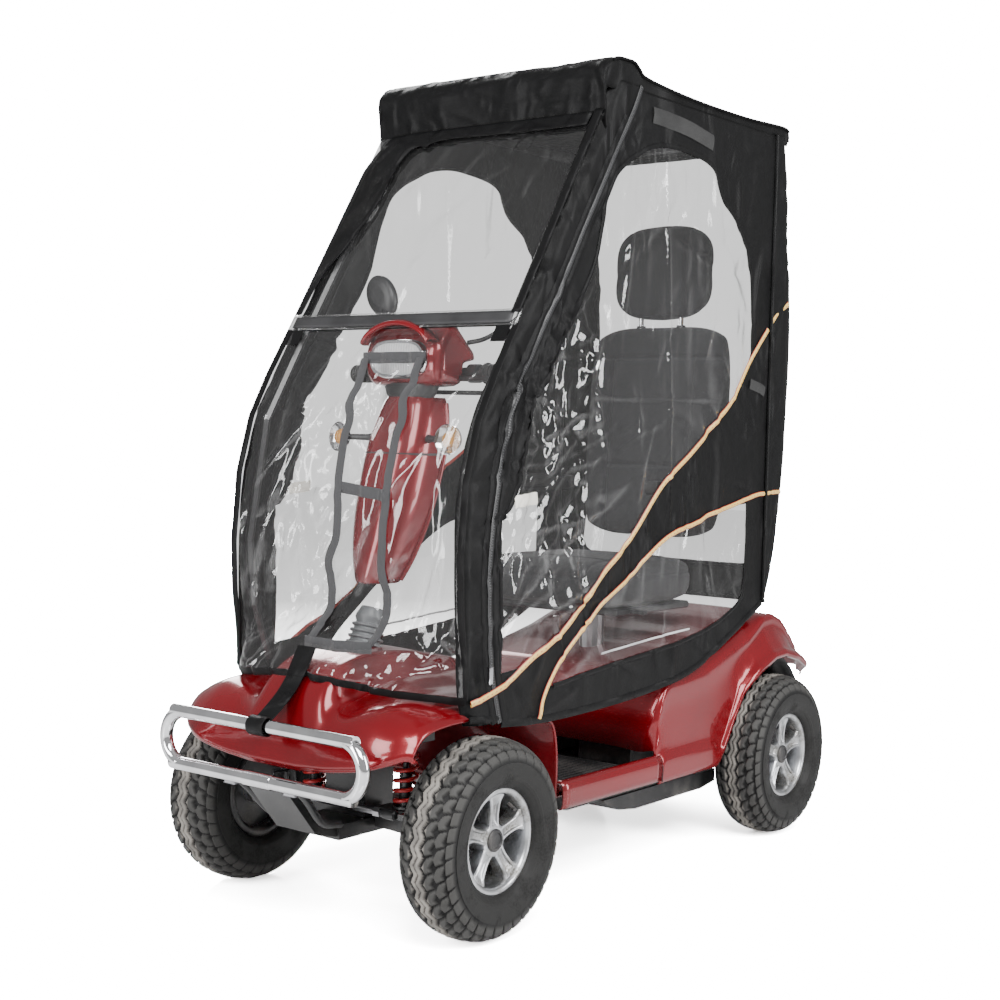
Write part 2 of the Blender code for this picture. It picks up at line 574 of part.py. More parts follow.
def seat():
    post_at = (0, POST_Y, 0.1656)
    turned("seat_post", [(0.0, 0.025), (0.304, 0.025)], post_at, (0, 0, 1), "steel", post_at, steps=14)
    swivel = (0, POST_Y, 0.47)
    box("seat_base", (-0.15, 0.10, 0.4702), (0.15, 0.37, 0.4845), "black_steel", swivel, bevel=0.003)
    wide = SEAT_HALF_W
    pad((-wide, 0.02, 0.4858), (wide, 0.385, 0.578), 0.014, "seat_fabric", "seat_cushion", (0, POST_Y, 0.4858))
    back = pad((-wide, 0.400, 0.590), (wide, 0.470, BACK_TOP_Z), 0.016, "seat_fabric", "seat_backrest", RECLINE, 0.030)
    rest_low = Vector((0, 0.468, BACK_TOP_Z + 0.020))
    head = pad((-0.115, 0.432, rest_low.z), (0.115, 0.500, 1.270), 0.011, "seat_fabric", "headrest", rest_low, 0.004)
    for side, s in sides():
        top = rest_low + Vector((s * 0.05, 0, 0.03))
        combine(back, rod(f"post_bore_{side}", top, top - Vector((0, 0, 0.13)), 0.0075, "steel", steps=8), "DIFFERENCE")
        combine(head, rod(f"headrest_post_{side}", top, top - Vector((0, 0, 0.115)), 0.0055, "steel", steps=8), "UNION")
    for side, s in sides():
        hinge = Vector((s * ARM_HINGE.x, ARM_HINGE.y, ARM_HINGE.z))
        low = (min(s * 0.186, s * 0.214), 0.125, 0.700)
        high = (max(s * 0.186, s * 0.214), 0.440, 0.735)
        box(f"armrest_{side}", low, high, "black_plastic", hinge, bevel=0.008)
    lever_at = (0.153, 0.15, 0.477)
    box("swivel_lever", (0.1525, 0.143, 0.474), (0.184, 0.157, 0.480), "black_plastic", lever_at, bevel=0.001)


def main():
    clear_scene()
    chassis()
    bumper()
    for side, s in sides():
        front_corner(side, s)
        wheel("front", side, s, FRONT_Y)
        wheel("rear", side, s, REAR_Y)
    tie_rod()
    cowl()
    floor_pan()
    shroud()
    tail_light()
    strap()
    canopy_sides()
    canopy_front()
    canopy_roof()
    canopy_rear()
    hoops()
    steering()
    controls()
    seat()


main()
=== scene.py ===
"""Mobility scooter with a weather canopy: the surfaces that show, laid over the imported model.

Metres, +Z up, the front faces -Y and the rider's left is +X, as in the model.
"""
import math

import bmesh
import bpy
import numpy as np
from mathutils import Matrix, Vector
from mathutils.geometry import delaunay_2d_cdt


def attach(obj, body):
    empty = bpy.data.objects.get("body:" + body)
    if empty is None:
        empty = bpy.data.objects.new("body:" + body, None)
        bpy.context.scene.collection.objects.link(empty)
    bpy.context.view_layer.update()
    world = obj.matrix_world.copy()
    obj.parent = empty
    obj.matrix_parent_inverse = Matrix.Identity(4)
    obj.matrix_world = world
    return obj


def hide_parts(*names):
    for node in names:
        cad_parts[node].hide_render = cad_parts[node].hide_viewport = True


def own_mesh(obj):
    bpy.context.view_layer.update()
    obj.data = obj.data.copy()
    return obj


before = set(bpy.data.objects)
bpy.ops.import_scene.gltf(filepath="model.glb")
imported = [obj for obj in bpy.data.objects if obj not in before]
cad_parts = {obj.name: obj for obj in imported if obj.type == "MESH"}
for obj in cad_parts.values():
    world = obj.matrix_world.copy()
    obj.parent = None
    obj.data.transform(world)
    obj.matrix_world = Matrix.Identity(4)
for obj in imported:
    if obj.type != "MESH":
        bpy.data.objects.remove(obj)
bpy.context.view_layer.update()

# Driving dimensions, as in the model
WHEEL_R = 0.165
TRACK_X = 0.2685
FRONT_Y = -0.4585
REAR_Y = 0.5185
CANOPY_X = 0.262
BUMPER_Y = -0.696
BUMPER_TOP_Z = 0.342
BUMPER_LOW_Z = 0.254
STEER_FOOT = np.array([0.0, -0.44, 0.50])
STEER_AXIS = np.array([0.0, 0.29, 0.957]) / math.hypot(0.29, 0.957)
SIDES = (("left", 1), ("right", -1))


# ---------------------------------------------------------------- shapes


def eased(low, high, at):
    """0 below low, 1 above high, smooth between."""
    t = np.clip((np.asarray(at, float) - low) / (high - low), 0, 1)
    return t * t * (3 - 2 * t)


def curve_through(points, count, closed=False):
    """Count points, evenly spaced, on the smooth curve through the given ones."""
    points = np.asarray(points, float)
    if closed:
        points = np.concatenate([points[-2:], points, points[:3]])
    else:
        points = np.concatenate([[2 * points[0] - points[1]], points, [2 * points[-1] - points[-2]]])
    fine = []
    last = len(points) - 3
    for k in range(1, last + 1):
        a, b, c, d = points[k - 1], points[k], points[k + 1], points[k + 2]
        t = np.linspace(0, 1, 24, endpoint=False)[:, None]
        fine.append(0.5 * (2 * b + (c - a) * t + (2 * a - 5 * b + 4 * c - d) * t**2
                           + (3 * b - a - 3 * c + d) * t**3))
    fine = np.concatenate(fine + [points[-2:-1]])
    if closed:
        fine = fine[24:-48]
        fine = np.concatenate([fine, fine[:1]])
    reach = np.concatenate([[0], np.cumsum(np.linalg.norm(np.diff(fine, axis=0), axis=1))])
    at = np.linspace(0, reach[-1], count, endpoint=not closed)
    return np.stack([np.interp(at, reach, fine[:, k]) for k in range(fine.shape[1])], axis=1)


def refined(grid, rows, columns):
    """A fine grid on the smooth surface through a coarse grid of points."""
    grid = np.asarray(grid, float)
    across = np.stack([curve_through(line, columns) for line in grid])
    return np.stack([curve_through(across[:, k], rows) for k in range(columns)], axis=1)


def rounded(points, radius, steps=5):
    """An outline whose corners are cut by arcs of about that radius."""
    points = np.asarray(points, float)
    out = []
    for before, corner, after in zip(np.roll(points, 1, 0), points, np.roll(points, -1, 0)):
        reach = min(radius, 0.45 * np.linalg.norm(before - corner), 0.45 * np.linalg.norm(after - corner))
        start = corner + (before - corner) / np.linalg.norm(before - corner) * reach
        end = corner + (after - corner) / np.linalg.norm(after - corner) * reach
        for t in np.linspace(0, 1, steps):
            out.append((1 - t) ** 2 * start + 2 * t * (1 - t) * corner + t * t * end)
    return np.array(out)


def grid_faces(rows, columns, wrap_rows=False, wrap_columns=False):
    faces = []
    for i in range(rows if wrap_rows else rows - 1):
        for j in range(columns if wrap_columns else columns - 1):
            i2, j2 = (i + 1) % rows, (j + 1) % columns
            faces.append((i * columns + j, i2 * columns + j, i2 * columns + j2, i * columns + j2))
    return faces


def shape(name, points, faces, finish, smooth=True, uv=None):
    mesh = bpy.data.meshes.new(name)
    mesh.from_pydata(np.asarray(points, float).tolist(), [], faces)
    if uv is not None:
        layer = mesh.uv_layers.new(name="across_and_along")
        corner = np.empty(len(mesh.loops), int)
        mesh.loops.foreach_get("vertex_index", corner)
        layer.data.foreach_set("uv", np.asarray(uv, float)[corner].ravel())
    mesh.update()
    mesh.materials.append(finish)
    if smooth:
        mesh.shade_smooth()
    obj = bpy.data.objects.new(name, mesh)
    bpy.context.collection.objects.link(obj)
    return obj


def skin(name, grid, finish, wrap_rows=False, flip=False, uv=None):
    grid = np.asarray(grid, float)
    rows, columns = grid.shape[:2]
    faces = grid_faces(rows, columns, wrap_rows)
    if flip:
        faces = [face[::-1] for face in faces]
    return shape(name, grid.reshape(-1, 3), faces, finish, uv=uv)


def capped(name, loops, finish):
    """A closed body through loops of the same number of points, its two ends flat."""
    loops = np.asarray(loops, float)
    rows, columns = loops.shape[:2]
    faces = grid_faces(rows, columns, wrap_columns=True)
    faces += [tuple(range(columns))[::-1], tuple(range((rows - 1) * columns, rows * columns))]
    return outward(shape(name, loops.reshape(-1, 3), faces, finish))


def outward(obj):
    """Turns a closed body's faces out."""
    mesh = obj.data
    mesh.calc_loop_triangles()
    points = np.array([v.co for v in mesh.vertices])
    corners = points[np.array([t.vertices for t in mesh.loop_triangles])]
    if np.einsum("ij,ij->i", corners[:, 0], np.cross(corners[:, 1], corners[:, 2])).sum() < 0:
        mesh.flip_normals()
    mesh.set_sharp_from_angle(angle=math.radians(38))
    return obj


def frames_along(path):
    """Two directions square to a path at each of its points, with no twist."""
    path = np.asarray(path, float)
    tangents = np.gradient(path, axis=0)
    tangents /= np.linalg.norm(tangents, axis=1)[:, None]
    first = np.cross(tangents[0], [0.0, 0.0, 1.0])
    if np.linalg.norm(first) < 0.1:
        first = np.cross(tangents[0], [1.0, 0.0, 0.0])
    sides = []
    for tangent in tangents:
        first = first - tangent * np.dot(first, tangent)
        first /= np.linalg.norm(first)
        sides.append(first)
    sides = np.array(sides)
    return sides, np.cross(tangents, sides)


def tube(name, path, radius, finish, closed=False, steps=12):
    path = np.asarray(path, float)
    radius = np.broadcast_to(np.asarray(radius, float), (len(path),))
    if closed:
        extended = np.concatenate([path[-1:], path, path[:1]])
        across, up = (part[1:-1] for part in frames_along(extended))
    else:
        across, up = frames_along(path)
    angles = np.arange(steps) * 2 * math.pi / steps
    ring = across[:, None] * np.cos(angles)[None, :, None] + up[:, None] * np.sin(angles)[None, :, None]
    loops = path[:, None] + ring * radius[:, None, None]
    if not closed:
        return capped(name, loops, finish)
    faces = grid_faces(len(path), steps, wrap_rows=True, wrap_columns=True)
    return outward(shape(name, loops.reshape(-1, 3), faces, finish))


def turned(name, profile, centre, along, finish, steps=32):
    """A closed body turned round an axis from (distance along, radius) points."""
    along = Vector(along).normalized()
    across = along.orthogonal().normalized()
    over = along.cross(across)
    angles = np.arange(steps) * 2 * math.pi / steps
    ring = np.cos(angles)[:, None] * np.array(across) + np.sin(angles)[:, None] * np.array(over)
    loops = [np.array(centre) + np.array(along) * d + ring * r for d, r in profile]
    return capped(name, loops, finish)


def block(name, low, high, finish, bevel=0.002, segments=3):
    (x0, y0, z0), (x1, y1, z1) = low, high
    plan = [(x0, y0), (x1, y0), (x1, y1), (x0, y1)]
    obj = capped(name, [[(x, y, z) for x, y in plan] for z in (z0, z1)], finish)
    return bevelled(obj, bevel, segments)


def bevelled(obj, width, segments=3):
    edge = obj.modifiers.new("soft_edges", "BEVEL")
    edge.width = width
    edge.segments = segments
    edge.limit_method = "ANGLE"
    return applied(obj)


def applied(obj):
    """The object with its modifiers baked into its mesh."""
    graph = bpy.context.evaluated_depsgraph_get()
    baked = bpy.data.meshes.new_from_object(obj.evaluated_get(graph))
    obj.modifiers.clear()
    obj.data = baked
    return obj


def thickened(obj, thickness):
    wall = obj.modifiers.new("wall", "SOLIDIFY")
    wall.thickness = thickness
    wall.offset = 0
    return applied(obj)


def joined(name, *objs):
    """Several shapes as one piece."""
    first = objs[0]
    with bpy.context.temp_override(active_object=first, selected_editable_objects=list(objs), object=first):
        bpy.ops.object.join()
    first.name = name
    return first


def fit(obj, body, stands_for=()):
    """Sets a piece on its body and hides the model's nodes that it stands for."""
    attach(obj, body)
    if stands_for:
        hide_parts(*([stands_for] if isinstance(stands_for, str) else stands_for))
    return obj


def creases(at, seed, count, spread, width, depth, lean=0.0, fan=0.5):
    """The height of soft folds at points in a plane: each a ridge of its own length, lean and width."""
    random = np.random.RandomState(seed)
    low, high = spread
    total = np.zeros(len(at))
    for _ in range(count):
        middle = random.uniform(low, high)
        turn = lean + random.normal(0, fan)
        along = np.array([math.cos(turn), math.sin(turn)])
        reach = random.uniform(0.03, 0.12)
        thick = width * random.uniform(0.5, 1.5)
        rise = depth * random.uniform(-1, 1)
        offset = at - middle
        forward = offset @ along
        sideways = offset @ np.array([-along[1], along[0]]) + 0.25 * reach * np.sin(forward / reach)
        total += rise * np.exp(-((forward / reach) ** 2) - (sideways / thick) ** 2)
    return total


# ---------------------------------------------------------------- finishes

# How bright the floor is to the eye, by itself and through clear film
FLOOR_GAIN = 18.0
FLOOR_GAIN_THROUGH_FILM = 2.4


def add_node(tree, kind, sockets=None, **settings):
    """A shader node with its settings, and each named socket linked or set."""
    made = tree.nodes.new(kind)
    for key, value in settings.items():
        setattr(made, key, value)
    for key, value in (sockets or {}).items():
        if isinstance(value, bpy.types.NodeSocket):
            tree.links.new(value, made.inputs[key])
        else:
            made.inputs[key].default_value = value
    return made


def maths(tree, operation, *values, **settings):
    """The result of one maths node over numbers and sockets."""
    return add_node(tree, "ShaderNodeMath", dict(enumerate(values)), operation=operation,
                    **settings).outputs[0]


def effect(name, inputs, outputs):
    """An empty node group with number inputs, and its input and output nodes."""
    tree = bpy.data.node_groups.new(name, "ShaderNodeTree")
    for label, start in inputs:
        socket = tree.interface.new_socket(label, in_out="INPUT", socket_type="NodeSocketFloat")
        socket.default_value = start
    for label, kind in outputs:
        tree.interface.new_socket(label, in_out="OUTPUT", socket_type=kind)
    return tree, tree.nodes.new("NodeGroupInput"), tree.nodes.new("NodeGroupOutput")


def ramp(tree, factor, low, high, start=0.0, end=1.0):
    return add_node(tree, "ShaderNodeMapRange", {0: factor, 1: low, 2: high, 3: start, 4: end},
                    interpolation_type="SMOOTHSTEP").outputs[0]


def blend_colour(tree, factor, first, second):
    made = add_node(tree, "ShaderNodeMix", data_type="RGBA")
    for socket, value in ((made.inputs[0], factor), (made.inputs[6], first), (made.inputs[7], second)):
        if isinstance(value, bpy.types.NodeSocket):
            tree.links.new(value, socket)
        else:
            socket.default_value = value
    return made.outputs[2]


def shade_and_dust():
    """A mask of settled dust that is thicker near the ground and in patches, and a fine speckle."""
    tree, given, out = effect("shade_and_dust", [("Height", 0.3), ("Scale", 9.0)],
                              [("Dust", "NodeSocketFloat"), ("Mottle", "NodeSocketFloat")])
    place = add_node(tree, "ShaderNodeTexCoord").outputs["Object"]
    split = add_node(tree, "ShaderNodeSeparateXYZ", {0: place})
    patches = add_node(tree, "ShaderNodeTexNoise", {"Vector": place, "Scale": given.outputs["Scale"],
                                                    "Detail": 6.0})
    grit = add_node(tree, "ShaderNodeTexNoise", {"Vector": place, "Scale": 260.0, "Detail": 3.0})
    level = maths(tree, "DIVIDE", split.outputs[2], given.outputs["Height"])
    fade = ramp(tree, level, 0.0, 1.0, 1.0, 0.0)
    uneven = ramp(tree, patches.outputs[0], 0.42, 0.70)
    dust = maths(tree, "MULTIPLY", fade, uneven)
    fine = ramp(tree, grit.outputs[0], 0.40, 0.62, 0.55, 1.0)
    tree.links.new(maths(tree, "MULTIPLY", dust, fine), out.inputs[0])
    tree.links.new(patches.outputs[0], out.inputs[1])
    return tree


def weave():
    """Two sets of threads that cross, as a height and a light-and-dark mask."""
    tree, given, out = effect("weave", [("Threads per metre", 900.0), ("Unevenness", 0.3)],
                              [("Height", "NodeSocketFloat"), ("Threads", "NodeSocketFloat")])
    place = add_node(tree, "ShaderNodeTexCoord").outputs["Object"]
    heights = []
    for axes in ((1, 0, 0.35), (0, 0.25, 1)):
        turned_place = add_node(tree, "ShaderNodeVectorMath", {0: place, 1: axes}, operation="DOT_PRODUCT")
        phase = maths(tree, "MULTIPLY", turned_place.outputs["Value"], given.outputs[0])
        turns = maths(tree, "MULTIPLY", phase, 2 * math.pi)
        heights.append(maths(tree, "SINE", turns))
    crossed = maths(tree, "MULTIPLY", heights[0], heights[1])
    slub = add_node(tree, "ShaderNodeTexNoise", {"Vector": place, "Scale": 70.0, "Detail": 5.0})
    uneven = maths(tree, "MULTIPLY", slub.outputs[0], given.outputs[1])
    height = maths(tree, "MULTIPLY_ADD", crossed, 0.25, uneven)
    tree.links.new(height, out.inputs[0])
    tree.links.new(ramp(tree, height, -0.2, 0.45), out.inputs[1])
    return tree


def crumple():
    """The creases of thin stiff sheet: long sharp ridges at two sizes, and a mask of the worst of them."""
    tree, given, out = effect("crumple", [("Scale", 6.0), ("Stretch", 0.35)],
                              [("Height", "NodeSocketFloat"), ("Ridges", "NodeSocketFloat"),
                               ("Patches", "NodeSocketFloat")])
    place = add_node(tree, "ShaderNodeTexCoord").outputs["Object"]
    split = add_node(tree, "ShaderNodeSeparateXYZ", {0: place})
    short = maths(tree, "MULTIPLY", split.outputs[2], given.outputs[1])
    drawn = add_node(tree, "ShaderNodeCombineXYZ", {0: split.outputs[0], 1: split.outputs[1],
                                                    2: short}).outputs[0]
    bend = add_node(tree, "ShaderNodeTexNoise", {"Vector": drawn, "Scale": 5.0, "Detail": 2.0})
    sway = add_node(tree, "ShaderNodeVectorMath", {0: bend.outputs["Color"], "Scale": 0.16},
                    operation="SCALE").outputs[0]
    bent = add_node(tree, "ShaderNodeVectorMath", {0: drawn, 1: sway}, operation="ADD").outputs[0]
    broad = add_node(tree, "ShaderNodeTexNoise", {"Vector": bent, "Scale": given.outputs[0], "Detail": 2.0,
                                                  "Roughness": 0.55},
                     noise_type="RIDGED_MULTIFRACTAL", normalize=True)
    finer = maths(tree, "MULTIPLY", given.outputs[0], 3.1)
    small = add_node(tree, "ShaderNodeTexNoise", {"Vector": bent, "Scale": finer, "Detail": 3.0,
                                                  "Roughness": 0.6},
                     noise_type="RIDGED_MULTIFRACTAL", normalize=True)
    patches = add_node(tree, "ShaderNodeTexNoise", {"Vector": place, "Scale": 4.2, "Detail": 2.0})
    where = ramp(tree, patches.outputs[0], 0.42, 0.66)
    rough = maths(tree, "MULTIPLY", small.outputs[0], where)
    height = maths(tree, "MULTIPLY_ADD", rough, 0.45, broad.outputs[0])
    tree.links.new(height, out.inputs[0])
    tree.links.new(ramp(tree, height, 0.55, 0.95), out.inputs[1])
    tree.links.new(where, out.inputs[2])
    return tree


EFFECTS = {made.name: made for made in (shade_and_dust(), weave(), crumple())}


def with_effect(tree, name, **sockets):
    group = add_node(tree, "ShaderNodeGroup", node_tree=EFFECTS[name])
    for key, value in sockets.items():
        group.inputs[key.replace("_", " ")].default_value = value
    return group.outputs


def blank(name, **sockets):
    """A material with a Principled shader whose plain values are set on its own sockets."""
    made = bpy.data.materials.new(name)
    made.use_nodes = True
    tree = made.node_tree
    shader = tree.nodes["Principled BSDF"]
    for key, value in sockets.items():
        shader.inputs[key.replace("_", " ")].default_value = value
    return made, tree, shader


def bump(tree, shader, height, strength, distance, base=None):
    made = add_node(tree, "ShaderNodeBump", {"Height": height, "Strength": strength, "Distance": distance})
    if base is not None:
        tree.links.new(base, made.inputs["Normal"])
    tree.links.new(made.outputs[0], shader.inputs["Normal"])
    return made.outputs[0]


def noise(tree, scale, detail=3.0, **settings):
    place = add_node(tree, "ShaderNodeTexCoord").outputs["Object"]
    return add_node(tree, "ShaderNodeTexNoise", {"Vector": place, "Scale": scale, "Detail": detail},
                    **settings).outputs[0]


def dusty(tree, shader, clean, worn, dust, low=0.3, scale=9.0, roughness=(0.3, 0.6)):
    """Colour that wanders between two shades, under a film of dust that also dulls it."""
    effects = with_effect(tree, "shade_and_dust", Height=low, Scale=scale)
    wander = ramp(tree, effects["Mottle"], 0.35, 0.65)
    base = blend_colour(tree, wander, clean, worn)
    tree.links.new(blend_colour(tree, effects["Dust"], base, dust), shader.inputs["Base Color"])
    tree.links.new(ramp(tree, effects["Dust"], 0.0, 1.0, *roughness), shader.inputs["Roughness"])


def red_lacquer():
    """Deep red body plastic under a clear coat."""
    made, tree, shader = blank("red_lacquer", Metallic=0.35, Coat_Weight=0.6, Coat_Roughness=0.03,
                               Specular_IOR_Level=0.45)
    dusty(tree, shader, (0.195, 0.0022, 0.0065, 1), (0.155, 0.0017, 0.0052, 1), (0.19, 0.05, 0.045, 1),
          0.35, 5.0, (0.22, 0.5))
    bump(tree, shader, noise(tree, 420.0), 0.04, 0.0004)
    return made


def moulded(name, colour, grain=900.0, roughness=(0.42, 0.7), strength=0.25):
    """Plastic with a fine moulded grain."""
    made, tree, shader = blank(name)
    lighter = tuple(min(1, c * 1.5 + 0.004) for c in colour[:3]) + (1,)
    dusty(tree, shader, colour, lighter, (0.13, 0.12, 0.11, 1), 0.35, 14.0, roughness)
    bump(tree, shader, noise(tree, grain, 2.0), strength, 0.0006)
    return made


def tyre_rubber():
    """Black rubber: near-black in its grooves, which is painted shade, grey on its blocks, chalky along the
    middle rib.
    """
    made, tree, shader = blank("tyre_rubber", Specular_IOR_Level=0.28)
    worn, middle = along_tape(tree)
    effects = with_effect(tree, "shade_and_dust", Height=0.9, Scale=26.0)
    patchy = ramp(tree, effects["Mottle"], 0.38, 0.60, 0.45, 0.95)
    # The near-black colour in the grooves is painted shade; the blocks get the lighter grey.
    groove_shaded_rubber = blend_colour(tree, worn, (0.005, 0.005, 0.005, 1), (0.044, 0.043, 0.041, 1))
    chalk = maths(tree, "MULTIPLY", middle, patchy)
    tree.links.new(blend_colour(tree, chalk, groove_shaded_rubber, (0.27, 0.25, 0.225, 1)), shader.inputs["Base Color"])
    tree.links.new(ramp(tree, effects["Dust"], 0.0, 1.0, 0.55, 0.85), shader.inputs["Roughness"])
    bump(tree, shader, noise(tree, 620.0, 4.0), 0.4, 0.0006)
    return made


def metal(name, colour, roughness, strength=0.06):
    made, tree, shader = blank(name, Metallic=1.0)
    duller = tuple(c * 0.86 for c in colour[:3]) + (1,)
    dusty(tree, shader, colour, duller, (0.2, 0.19, 0.17, 1), 0.2, 24.0, roughness)
    bump(tree, shader, noise(tree, 600.0, 3.0), strength, 0.0004)
    return made


def coated_steel(name, colour):
    made, tree, shader = blank(name, Metallic=0.2, Coat_Weight=0.4, Coat_Roughness=0.2)
    lighter = tuple(c * 1.4 for c in colour[:3]) + (1,)
    dusty(tree, shader, colour, lighter, (0.07, 0.066, 0.06, 1), 0.3, 16.0, (0.35, 0.7))
    bump(tree, shader, noise(tree, 1100.0, 2.0), 0.3, 0.0004)
    return made


def canopy_nylon():
    """Thin coated black cloth: a fine square weave, soft sheen, and small crumples whose ridges are painted
    lighter, a painted highlight.
    """
    made, tree, shader = blank("canopy_nylon", Specular_IOR_Level=0.13)
    threads = with_effect(tree, "weave", Threads_per_metre=1500.0, Unevenness=0.5)
    folds = with_effect(tree, "crumple", Scale=11.0, Stretch=0.5)
    base = blend_colour(tree, threads["Threads"], (0.0020, 0.0020, 0.0021, 1), (0.0060, 0.0060, 0.0063, 1))
    # The fold ridges are painted a lighter grey: a painted highlight on the crumples
    tree.links.new(blend_colour(tree, folds["Ridges"], base, (0.016, 0.016, 0.0165, 1)),
                   shader.inputs["Base Color"])
    tree.links.new(ramp(tree, threads["Threads"], 0.0, 1.0, 0.34, 0.48), shader.inputs["Roughness"])
    fine = bump(tree, shader, threads["Height"], 0.25, 0.0004)
    bump(tree, shader, folds["Height"], 1.0, 0.026, fine)
    return made


def clear_vinyl():
    """Clear flexible sheet: nearly all light passes, with a milky veil, and its creases flash white."""
    made, tree, shader = blank("clear_vinyl", Base_Color=(0.96, 0.96, 0.96, 1), Metallic=0.9,
                               Roughness=0.10)
    folds = with_effect(tree, "crumple", Scale=9.0, Stretch=0.25)
    bent = bump(tree, shader, folds["Height"], 1.0, 0.022)
    clear = add_node(tree, "ShaderNodeBsdfTransparent", {"Color": (0.965, 0.967, 0.965, 1)})
    facing = add_node(tree, "ShaderNodeLayerWeight", {"Blend": 0.28, "Normal": bent})
    patch = maths(tree, "MULTIPLY", folds["Ridges"], folds["Patches"])
    drawn = with_effect(tree, "crumple", Scale=26.0, Stretch=0.05)
    streaks = ramp(tree, drawn["Ridges"], 0.55, 1.0, 0.0, 0.20)
    sharp = ramp(tree, patch, 0.15, 0.9, 0.0, 0.62)
    glare = ramp(tree, facing.outputs["Facing"], 0.25, 1.0, 0.085, 0.80)
    lines = maths(tree, "ADD", streaks, sharp)
    amount = maths(tree, "ADD", glare, lines, use_clamp=True)
    mixed = add_node(tree, "ShaderNodeMixShader", {0: amount, 1: clear.outputs[0], 2: shader.outputs[0]})
    tree.links.new(mixed.outputs[0], tree.nodes["Material Output"].inputs["Surface"])
    return made


def seat_cloth():
    made, tree, shader = blank("seat_cloth", Sheen_Weight=0.12, Sheen_Roughness=0.5)
    threads = with_effect(tree, "weave", Threads_per_metre=1100.0, Unevenness=0.9)
    flecks = noise(tree, 320.0, 3.0)
    base = blend_colour(tree, threads["Threads"], (0.009, 0.009, 0.010, 1), (0.017, 0.017, 0.019, 1))
    speckled = blend_colour(tree, ramp(tree, flecks, 0.58, 0.74, 0.0, 0.3), base, (0.034, 0.034, 0.037, 1))
    tree.links.new(speckled, shader.inputs["Base Color"])
    tree.links.new(ramp(tree, threads["Threads"], 0.0, 1.0, 0.78, 0.92), shader.inputs["Roughness"])
    bump(tree, shader, threads["Height"], 0.5, 0.0012)
    return made


def webbing():
    """Grey woven tape with a rib across it."""
    made, tree, shader = blank("grey_webbing", Sheen_Weight=0.2)
    threads = with_effect(tree, "weave", Threads_per_metre=700.0, Unevenness=0.4)
    tree.links.new(blend_colour(tree, threads["Threads"], (0.018, 0.018, 0.0195, 1),
                                (0.036, 0.036, 0.039, 1)),
                   shader.inputs["Base Color"])
    tree.links.new(ramp(tree, threads["Threads"], 0.0, 1.0, 0.6, 0.8), shader.inputs["Roughness"])
    bump(tree, shader, threads["Height"], 0.5, 0.0008)
    return made


def along_tape(tree):
    """The place along a tape in metres, and across it from 0 to 1."""
    place = add_node(tree, "ShaderNodeUVMap", uv_map="across_and_along").outputs[0]
    split = add_node(tree, "ShaderNodeSeparateXYZ", {0: place})
    return split.outputs[0], split.outputs[1]


def reflective_piping():
    """Cream reflective cord with a fine red dash along its middle and dark red edges."""
    made, tree, shader = blank("reflective_piping", Roughness=0.35)
    across, along = along_tape(tree)
    edge = maths(tree, "SUBTRACT", across, 0.5)
    from_middle = maths(tree, "ABSOLUTE", edge)
    rim = ramp(tree, from_middle, 0.34, 0.42)
    dash = maths(tree, "PINGPONG", along, 0.006)
    dashes = ramp(tree, dash, 0.0035, 0.0045)
    middle = ramp(tree, from_middle, 0.05, 0.10, 1.0, 0.0)
    stitch = maths(tree, "MULTIPLY", dashes, middle)
    base = blend_colour(tree, stitch, (0.72, 0.48, 0.14, 1), (0.45, 0.10, 0.05, 1))
    tree.links.new(blend_colour(tree, rim, base, (0.30, 0.035, 0.02, 1)), shader.inputs["Base Color"])
    bump(tree, shader, dashes, 0.2, 0.0005)
    return made


def zip_teeth():
    """Moulded teeth on a black zip tape."""
    made, tree, shader = blank("zip_teeth", Roughness=0.38)
    across, along = along_tape(tree)
    tooth = maths(tree, "PINGPONG", along, 0.0022)
    raised = ramp(tree, tooth, 0.0006, 0.0014)
    edge = maths(tree, "SUBTRACT", across, 0.5)
    from_middle = maths(tree, "ABSOLUTE", edge)
    chain = ramp(tree, from_middle, 0.16, 0.24, 1.0, 0.0)
    teeth = maths(tree, "MULTIPLY", raised, chain)
    tree.links.new(blend_colour(tree, teeth, (0.010, 0.010, 0.011, 1), (0.055, 0.055, 0.058, 1)),
                   shader.inputs["Base Color"])
    bump(tree, shader, teeth, 1.0, 0.0012)
    return made


def lamp_glass(name, colour):
    """A clear or tinted lamp lens with fine vertical flutes."""
    made, tree, shader = blank(name, Roughness=0.06, Coat_Weight=0.6, Coat_Roughness=0.02,
                               Transmission_Weight=0.55, IOR=1.45)
    place = add_node(tree, "ShaderNodeTexCoord").outputs["Object"]
    flutes = add_node(tree, "ShaderNodeTexWave", {"Vector": place, "Scale": 55.0, "Distortion": 0.4},
                      bands_direction="X")
    paler = tuple(min(1, c * 1.25 + 0.03) for c in colour[:3]) + (1,)
    tree.links.new(blend_colour(tree, flutes.outputs["Fac"], colour, paler), shader.inputs["Base Color"])
    bump(tree, shader, flutes.outputs["Fac"], 0.35, 0.002)
    return made


def seen_white(tree, seen, through_film, lighting):
    """A brightness that is one thing to the eye, a lower one through clear film, and another as a light."""
    path = add_node(tree, "ShaderNodeLightPath")
    filmed = maths(tree, "GREATER_THAN", path.outputs["Transparent Depth"], 0.5)
    looked_at = add_node(tree, "ShaderNodeMapRange",
                         {0: filmed, 1: 0.0, 2: 1.0, 3: seen, 4: through_film}).outputs[0]
    return add_node(tree, "ShaderNodeMix", {0: path.outputs["Is Camera Ray"], 2: lighting,
                                            3: looked_at}).outputs[0]


